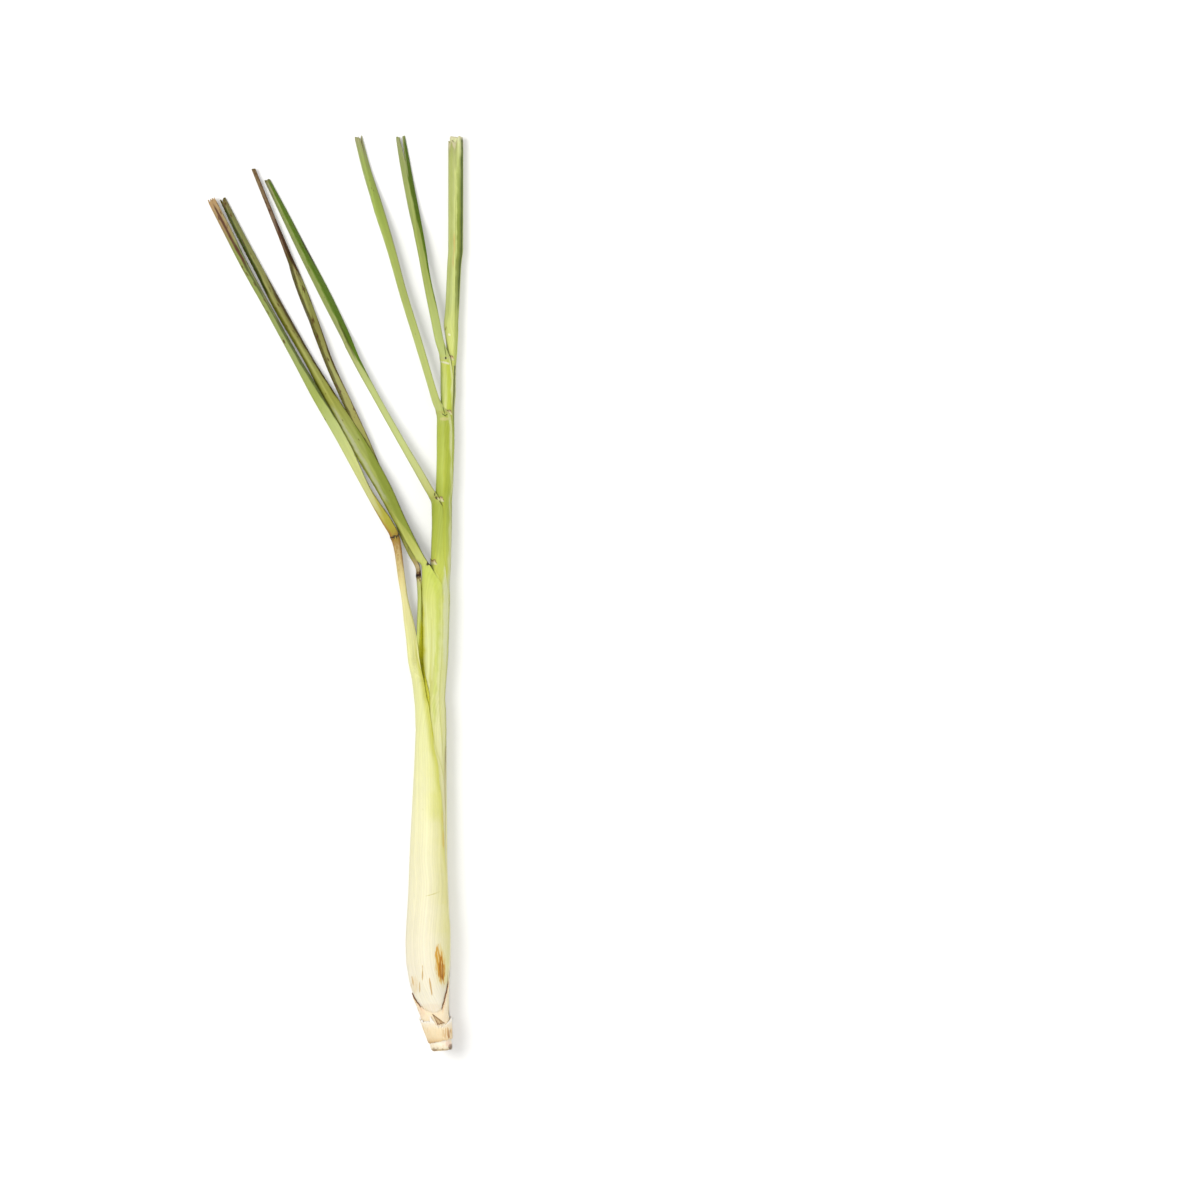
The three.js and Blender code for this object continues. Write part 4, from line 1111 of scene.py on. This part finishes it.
def culm():
    """The short stub of the culm with its cut root end."""
    azimuth = np.arange(0, 360, 3.75)
    turn = azimuth / 360
    face = 4.7  # radius of the cut face
    ys, radii = [], []
    lean = CUT_SLANT * np.cos(azimuth * DEG) * face
    for share in (0.15, 0.3, 0.45, 0.6, 0.75, 0.9, 0.97):
        dish = 0.35 * (1 - share**2) + 0.12 * wander(turn, 0.15, int(share * 100))
        ys.append(-52.75 + dish + lean * share)
        radii.append(face * share + 0 * turn)
    dents = 0.1 * wander(turn, 0.22, 5) + 0.05 * wander(turn, 0.06, 6)
    for y in [-52.45, -52.1, -51.6, *np.arange(-51, -29, 0.6)]:
        ys.append(y + lean * smooth(-44, -50, y))
        bulge = 0.10 * math.cos((y + 46) * 1.5) + 0.06 * wander(np.array([y]), 3.0, 3)[0]
        radii.append(curve(CULM, 1, y) + (dents + bulge) * (y < -36))
    ys, radii = np.array(ys), np.array(radii)
    rings = ring_point(ys, radii, azimuth)
    n, m = radii.shape
    foot, top = n * m, n * m + 1
    points = np.concatenate([rings.reshape(-1, 3), [rings[0].mean(0), rings[-1].mean(0)]])
    faces = []
    for j in range(m):
        nxt = (j + 1) % m
        faces += [(k + j, k + j + m, k + nxt + m, k + nxt) for k in range(0, (n - 1) * m, m)]
        faces.append((foot, j, nxt))
        faces.append((top, (n - 1) * m + nxt, (n - 1) * m + j))
    fields = {
        "along": [*ys.ravel(), ys[0].mean(), ys[-1].mean()],
        "azimuth": [*np.tile(azimuth, n), 0, 0],
    }
    PIECES.append(new_object("culm", points, faces, fields, culm_material()))


def culm_material():
    p = Paint("culm", BASE_TONE)
    along, azimuth = p.fields("along", "azimuth")
    skin = p.noise((azimuth * 0.085, along * 0.35, 3.0), *FIBRE)
    fibre = p.noise((azimuth * 0.765, along * 0.5, 7.0))
    p.base = p.ramp(along, -53, -36, [
        (-53, "#C9B692"), (-52.3, "#DCCBA6"), (-51.4, "#F2E6C8"), (-48, "#FBF1DC"),
        (-46.5, "#F6E7C6"), (-44, "#F9F0D8"), (-36, "#F3E6C0"),
    ])
    p.over("#E7C9A0", skin.step(0.52, 0.7), 0.45)
    p.over("#FFFFFF", fibre.step(0.5, 0.8), 0.2)
    # the cut face with its pores, and rot round it
    pores = p.node("TexVoronoi", p.place(), None, 1900.0, feature="F1")
    cells = Flow(p, pores.outputs["Distance"]).step(0.45, 0.15)
    face = along.step(-51.9, -52.25)
    p.over("#BFA981", face, 0.75)
    p.over("#7A6242", face * cells, 0.6)
    rot = p.noise(p.place(), *FIBRE, 520.0)
    p.over("#94795A", along.step(-50.6, -52.4) * rot.step(0.45, 0.6), 0.7)
    p.over("#5E4630", spot(p, 9.6, -51.0, 1.2, 1.6), 0.8)
    p.over("#E3A890", spot(p, 8.6, -49.6, 1.6, 1.8), 0.35)
    flesh = 0.2, (1.0, 0.8, 0.45), 0.0014
    return p.finish(skin * 0.2 + 0.5, [(skin, 0.4), (fibre, 0.18)], flesh)


def torn_ring(name, azimuth, foot, top, radius, lift, wall, rows, material):
    """A thin torn ring of old leaf. foot, top and the lift of its rim go by azimuth."""
    share = np.linspace(0, 1, rows)[:, None]
    y = foot + (top - foot) * share
    out = radius(y) + lift * smooth(0.72, 1.0, share)
    thick = wall * (1 - 0.62 * smooth(0.7, 1, share))
    outer, inner = (ring_point(y, r, azimuth) for r in (out, out - thick))
    fields = {"along": y, "across": azimuth * 0.16, "rim": top - y, "azimuth": azimuth}
    two_walls(outer, inner, fields, name, material, closed=True)


def husk_ring():
    """The stub of an older sheath, with a ragged pale rim."""
    azimuth = np.arange(0, 360, 1.5)
    turn = azimuth / 360
    top = np.interp(azimuth, *zip(*HUSK["rim"]), period=360)
    top = top + 0.55 * wander(turn, 0.05, 41) + 0.3 * wander(turn, 0.015, 42)
    (foot_y, foot_r), (head_y, head_r) = HUSK["foot"], HUSK["head"]
    foot = foot_y + HUSK["slant"] * np.cos(azimuth * DEG) + 0.15 * wander(turn, 0.1, 43)

    def radius(y):
        widening = (y - foot_y) / (head_y - foot_y) * (head_r - foot_r)
        return foot_r + widening + 0.14 * wander(turn, 0.08, 44) * smooth(foot_y, head_y, y)

    lift = 0.25 * wander(turn, 0.12, 45)
    torn_ring("husk_ring", azimuth, foot, top, radius, lift, HUSK["wall"], 24, husk_material())


def husk_material():
    p = Paint("husk_ring", BASE_TONE)
    along, across, rim, side = p.fields("along", "across", "rim", "side")
    streak = p.noise((across * 1.6, along * 0.12, 2.0), *FIBRE)
    fine = p.noise((across * 9.0, along * 0.5, 4.0))
    p.base = p.ramp(along + (streak - 0.5) * 1.6, -49, -37, [
        (-49, "#C79F68"), (-48.2, "#E2C494"), (-46.5, "#F0DAB0"), (-43, "#F6E2BA"),
        (-40.5, "#F8EBD0"), (-39.3, "#FCF6EA"), (-37, "#FFFFFF"),
    ])
    p.over("#8E6334", side)
    p.over("#E0B982", streak.step(0.5, 0.75), 0.4)
    p.over("#F6E9CC", fine.step(0.5, 0.75), 0.3)
    p.over("#D09A48", streaks(p, 8.0, -44.5, 3.0, 3.0, 0, 1.9, 0.5), 0.6)
    p.over("#A5682A", streaks(p, 8.8, -45.0, 1.6, 2.4, 0, 2.2, 0.4), 0.75)
    p.over("#D9A65C", streaks(p, -2.2, -43.0, 1.5, 4.0, 0, 1.6, 0.3), 0.6)
    p.over("#5A3818", spot(p, 9.3, -36.8, 0.8, 1.1, 0, 0.4), 0.8)
    p.over("#6A4524", spot(p, -2.3, -39.0, 2.4, 0.22, -10), 0.8)
    # near white at the rim: its own pale dry edge, with a painted highlight along it
    p.over("#FFFDF4", rim.step(0.5, 0.15), 0.6)
    flesh = 0.1, (1.0, 0.7, 0.4), 0.001
    return p.finish(streak * 0.25 + 0.55, [(streak, 0.5), (fine, 0.22)], flesh)


def torn_sheath():
    """The oldest sheath, torn down to a cup with a strip up the right side."""
    azimuth = np.arange(8, 368, 2.0)
    turn = azimuth / 360
    top = np.interp(azimuth, *zip(*TORN["edge"]), period=360)
    cup = top < 40
    teeth = 0.5 * wander(turn, 0.045, 31) + 0.3 * wander(turn, 0.016, 32)
    top = top + np.where(cup, teeth, 0.4 * teeth)

    def radius(y):
        stem = nest_radius(1, y) + TORN["rise"] * (1 - 0.86 * smooth(-24, -6, y))
        return stem - 0.42 * smooth(2.4, 0.2, top - y) * cup

    brown_sides = 1 - smooth(44, 56, azimuth)
    brown_sides = brown_sides + smooth(126, 140, azimuth) * (1 - smooth(180, 205, azimuth))
    torn_ring(
        "torn_sheath", azimuth, TORN["foot"], top, radius, 0.3 * brown_sides * cup, TORN["wall"], 60,
        torn_material(),
    )


def torn_material():
    p = Paint("torn_sheath", BASE_TONE)
    along, across, rim, side, azimuth = p.fields("along", "across", "rim", "side", "azimuth")
    streak = p.noise((across * 1.3, along * 0.04, 12.0), *FIBRE)
    fine = p.noise((across * 8.0, along * 0.4, 14.0))
    p.base = p.ramp(along + (streak - 0.5) * 6.0, -42, 90, [
        (-42, "#EBD5AE"), (-36, "#F3E2C0"), (-31, "#F7EACB"), (-20, "#F7EFCC"), (20, "#EFEBB4"),
        (60, "#E0E29A"), (88, "#D8DC8C"),
    ])
    ribs = p.math("SINE", across * (2 * math.pi / 1.2))
    p.over("#E9DDB4", side)
    p.over("#FFFDE8", ribs * 0.5 + 0.5, 0.12)
    p.over("#EFD3A8", streak.step(0.5, 0.75), 0.35)
    # the rim is painted dark brown on both sides of the cup, and faintly elsewhere, up to the strip
    brown = azimuth.step(56, 46) + azimuth.step(126, 140) * azimuth.step(205, 180)
    brown = brown * along.step(-19, -23)
    near = (rim + (fine - 0.5)).step(0.8, 0.3)
    p.over("#7C4A26", near * (along.step(10, -20) * 0.16 + brown), 0.85)
    pale = rim.step(2.6, 1.0) * rim.step(0.5, 0.9)
    p.over("#E0B47C", pale * (brown + 0.3), 0.45)
    p.over("#EBBE98", spot(p, -4.5, -35.0, 3.2, 3.0), 0.3)
    flesh = 0.15, (1.0, 0.85, 0.35), 0.0012
    return p.finish(streak * 0.2 + 0.45, [(streak, 0.3), (fine, 0.1)], flesh)


def torn_flap():
    """A dry scrap of old sheath left in the notch of the husk."""
    peak, left, right = np.array([[1.2, -35.6], [3.8, -40.7], [7.0, -39.9]])
    down, over = np.linspace(0.02, 1, 14)[:, None], np.linspace(0, 1, 15)
    mix = lambda k: peak[k] * (1 - down) + (left[k] * (1 - over) + right[k] * over) * down
    x, y = mix(0), mix(1) + 0.25 * wander(over, 0.3, 61) * down
    edge = np.minimum(np.minimum(over, 1 - over) * down * 4.0, (1 - down) * 4.0)
    lift = 0.16 + 0.16 * smooth(0.7, 0.0, edge) + 0.1 * wander(over, 0.4, 62)
    radius = nest_radius(1, y) + TORN["rise"] + lift
    height = lambda r: axis_z(y) + np.sqrt(np.maximum(r**2 - (x - axis_x(y)) ** 2, 0.5))
    outer, inner = (np.stack([x, y, height(r)], -1) for r in (radius, radius - 0.3))
    fields = {"along": y, "across": x, "rim": edge}
    two_walls(outer, inner, fields, "torn_flap", flap_material())


def flap_material():
    p = Paint("torn_flap")
    along, across, rim = p.fields("along", "across", "rim")
    lean = across + along * 0.45
    streak = p.noise((lean * 2.2, along * 0.3, 3.0), *FIBRE)
    p.base = p.blend(streak.step(0.35, 0.65), "#B98F5C", "#E0C699")
    p.over("#7A4420", (rim + streak * 0.5).step(0.62, 0.3), 0.8)
    return p.finish(streak * 0.2 + 0.6, [(streak, 0.5)])


# ---------------------------------------------------------------- heart leaf and ligules

def heart_leaf():
    """The youngest leaf, rolled tight inside the last sheath; its end shows the roll."""
    y = np.arange(262, 367.6, 1.1)[:, None]
    free, turns, pitch = 200.0, 2.25, 0.5  # azimuth of the free margin, turns, mm from turn to turn
    share = np.linspace(0, 1, 110)
    azimuth = free - 360 * turns * (1 - share)
    cx, cz, wide = circle(7, y)
    behind = (free - azimuth) / 360
    radius = wide - 0.68 - pitch * behind * np.minimum(1, wide / 3.2)
    shown = smooth(-25, 8, azimuth) * (1 - smooth(84, 112, azimuth))
    radius = radius + (wide - 0.22 - radius) * shown
    yy = y + (0.5 * wander(share * 6, 0.8, 51) - 0.4) * smooth(350, 367, y)
    turn = azimuth * DEG
    at = lambda r: np.stack([cx + r * np.cos(turn), yy, cz + r * np.sin(turn)], -1)
    outer = at(radius)
    arc = 2 * math.pi * turns * 2.4
    look = LOOKS["heart_leaf"]
    fields = {
        "along": yy, "across": (share - 0.78) * arc, "rim": (1 - share) * arc, "tip": 367.5 - yy,
        "margin_shade": 0, **band_fields(outer, 9, look),
    }
    paint = leaf_material("heart_leaf", 9, (262, 367.6, 368.0), look)
    two_walls(outer, at(radius - 0.4), fields, "heart_leaf", paint)


def ligule(number, material):
    """The short ragged membrane inside a collar, hugging the next leaf."""
    spec = LEAVES["leaf_%d" % number]
    _, front, back = spec["split"][-1]
    azimuth = np.linspace(front - 10, back + 8, 64)
    turn = azimuth / 360
    up = np.linspace(0, 1, 7)[:, None]
    tall = 1.5 + 0.5 * wander(turn, 0.12, 70 + number) + 0.3 * wander(turn, 0.03, 80 + number)
    inset = np.minimum(azimuth - azimuth[0], azimuth[-1] - azimuth)
    tall = np.maximum(0.2, tall) * smooth(0, 16, inset) + 0.1
    y = spec["span"][1] - 0.8 + (0.8 + tall) * up
    radius = skin_radius(number + 1, azimuth, y) + 0.1 + 0.14 * up
    outer, inner = (ring_point(y, r, azimuth) for r in (radius, radius - 0.22))
    two_walls(outer, inner, {"along": up, "across": azimuth}, "ligule_%d" % number, material)


def ligule_material():
    p = Paint("ligule")
    up, azimuth = p.fields("along", "across")
    fibre = p.noise((azimuth * 0.22, up * 0.4, 5.0))
    p.base = p.ramp(up + (fibre - 0.5) * 0.8, 0, 1, [
        (0, "#CBCD7C"), (0.45, "#D9D69C"), (0.75, "#BFA468"), (1, "#6E4E24"),
    ])
    return p.finish(0.5, [(fibre, 0.2)], (0.2, (1.0, 0.8, 0.4), 0.0008))


# ---------------------------------------------------------------- the floor, light and camera

LAMPS = [  # name, place and size in m, power in W
    ("key", (-0.95, 0.42, 1.5), 1.1, 25.0),
    ("top", (0.05, 0.15, 3.4), 0.35, 36.0),
    ("fill", (1.6, 0.1, 0.62), 1.0, 10.0),
]
LIT_POINT = Vector((-0.01, 0.15, 0.0))
CAMERA_AT = (0.0782, 0.1541, 3.2)
FRAME_WIDE = 0.552  # m across the photograph
FRAME_HEIGHT = 0.008  # the height at which it is that wide
SENSOR = 36.0


def make_floor():
    p = Paint("floor")
    white, pale = (colour(text, FLOOR_TONE, 0.0) for text in ("#FBFBFA", "#F4F4F3"))
    p.base = p.blend(p.noise(p.place(), scale=900.0) * 0.2, white, pale)
    n = 12
    ticks = np.linspace(-4000, 4000, n)
    points = [(x, y, -0.05) for y in ticks for x in ticks]
    corners = [k * n + j for k in range(n - 1) for j in range(n - 1)]
    faces = [(a, a + 1, a + n + 1, a + n) for a in corners]
    new_object("floor", points, faces, {}, p.finish(0.6, [], gloss=0.2))


def make_light():
    world = bpy.data.worlds.new("studio")
    bpy.context.scene.world = world
    world.use_nodes = True
    back = world.node_tree.nodes["Background"]
    back.inputs["Color"].default_value = (1.0, 1.0, 0.995, 1)
    back.inputs["Strength"].default_value = 0.62
    for name, place, size, power in LAMPS:
        lamp = bpy.data.lights.new(name, "AREA")
        lamp.shape, lamp.size, lamp.energy = "DISK", size, power
        lamp.color = (1.0, 0.99, 0.975)
        obj = bpy.data.objects.new(name, lamp)
        bpy.context.scene.collection.objects.link(obj)
        obj.location = place
        obj.rotation_mode = "QUATERNION"
        obj.rotation_quaternion = (LIT_POINT - Vector(place)).to_track_quat("-Z", "Y")


def make_camera():
    """Straight above, far off through a long lens."""
    data = bpy.data.cameras.new("camera")
    data.sensor_width = SENSOR
    data.lens = SENSOR * (CAMERA_AT[2] - FRAME_HEIGHT) / FRAME_WIDE
    data.clip_end = 50
    camera = bpy.data.objects.new("camera", data)
    camera.location = CAMERA_AT
    bpy.context.scene.collection.objects.link(camera)
    bpy.context.scene.camera = camera


for number, (name, spec) in enumerate(LEAVES.items(), 1):
    make_leaf(name, number, spec, LOOKS[name])
culm()
husk_ring()
torn_sheath()
torn_flap()
heart_leaf()
membrane = ligule_material()
for number in (3, 4, 5, 6):
    ligule(number, membrane)

for obj in PIECES:
    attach(obj, "root")
    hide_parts("stalk")

make_floor()
make_light()
make_camera()
bpy.context.scene.view_settings.view_transform = "Standard"
bpy.context.scene.view_settings.look = "None"

bpy.context.view_layer.update()
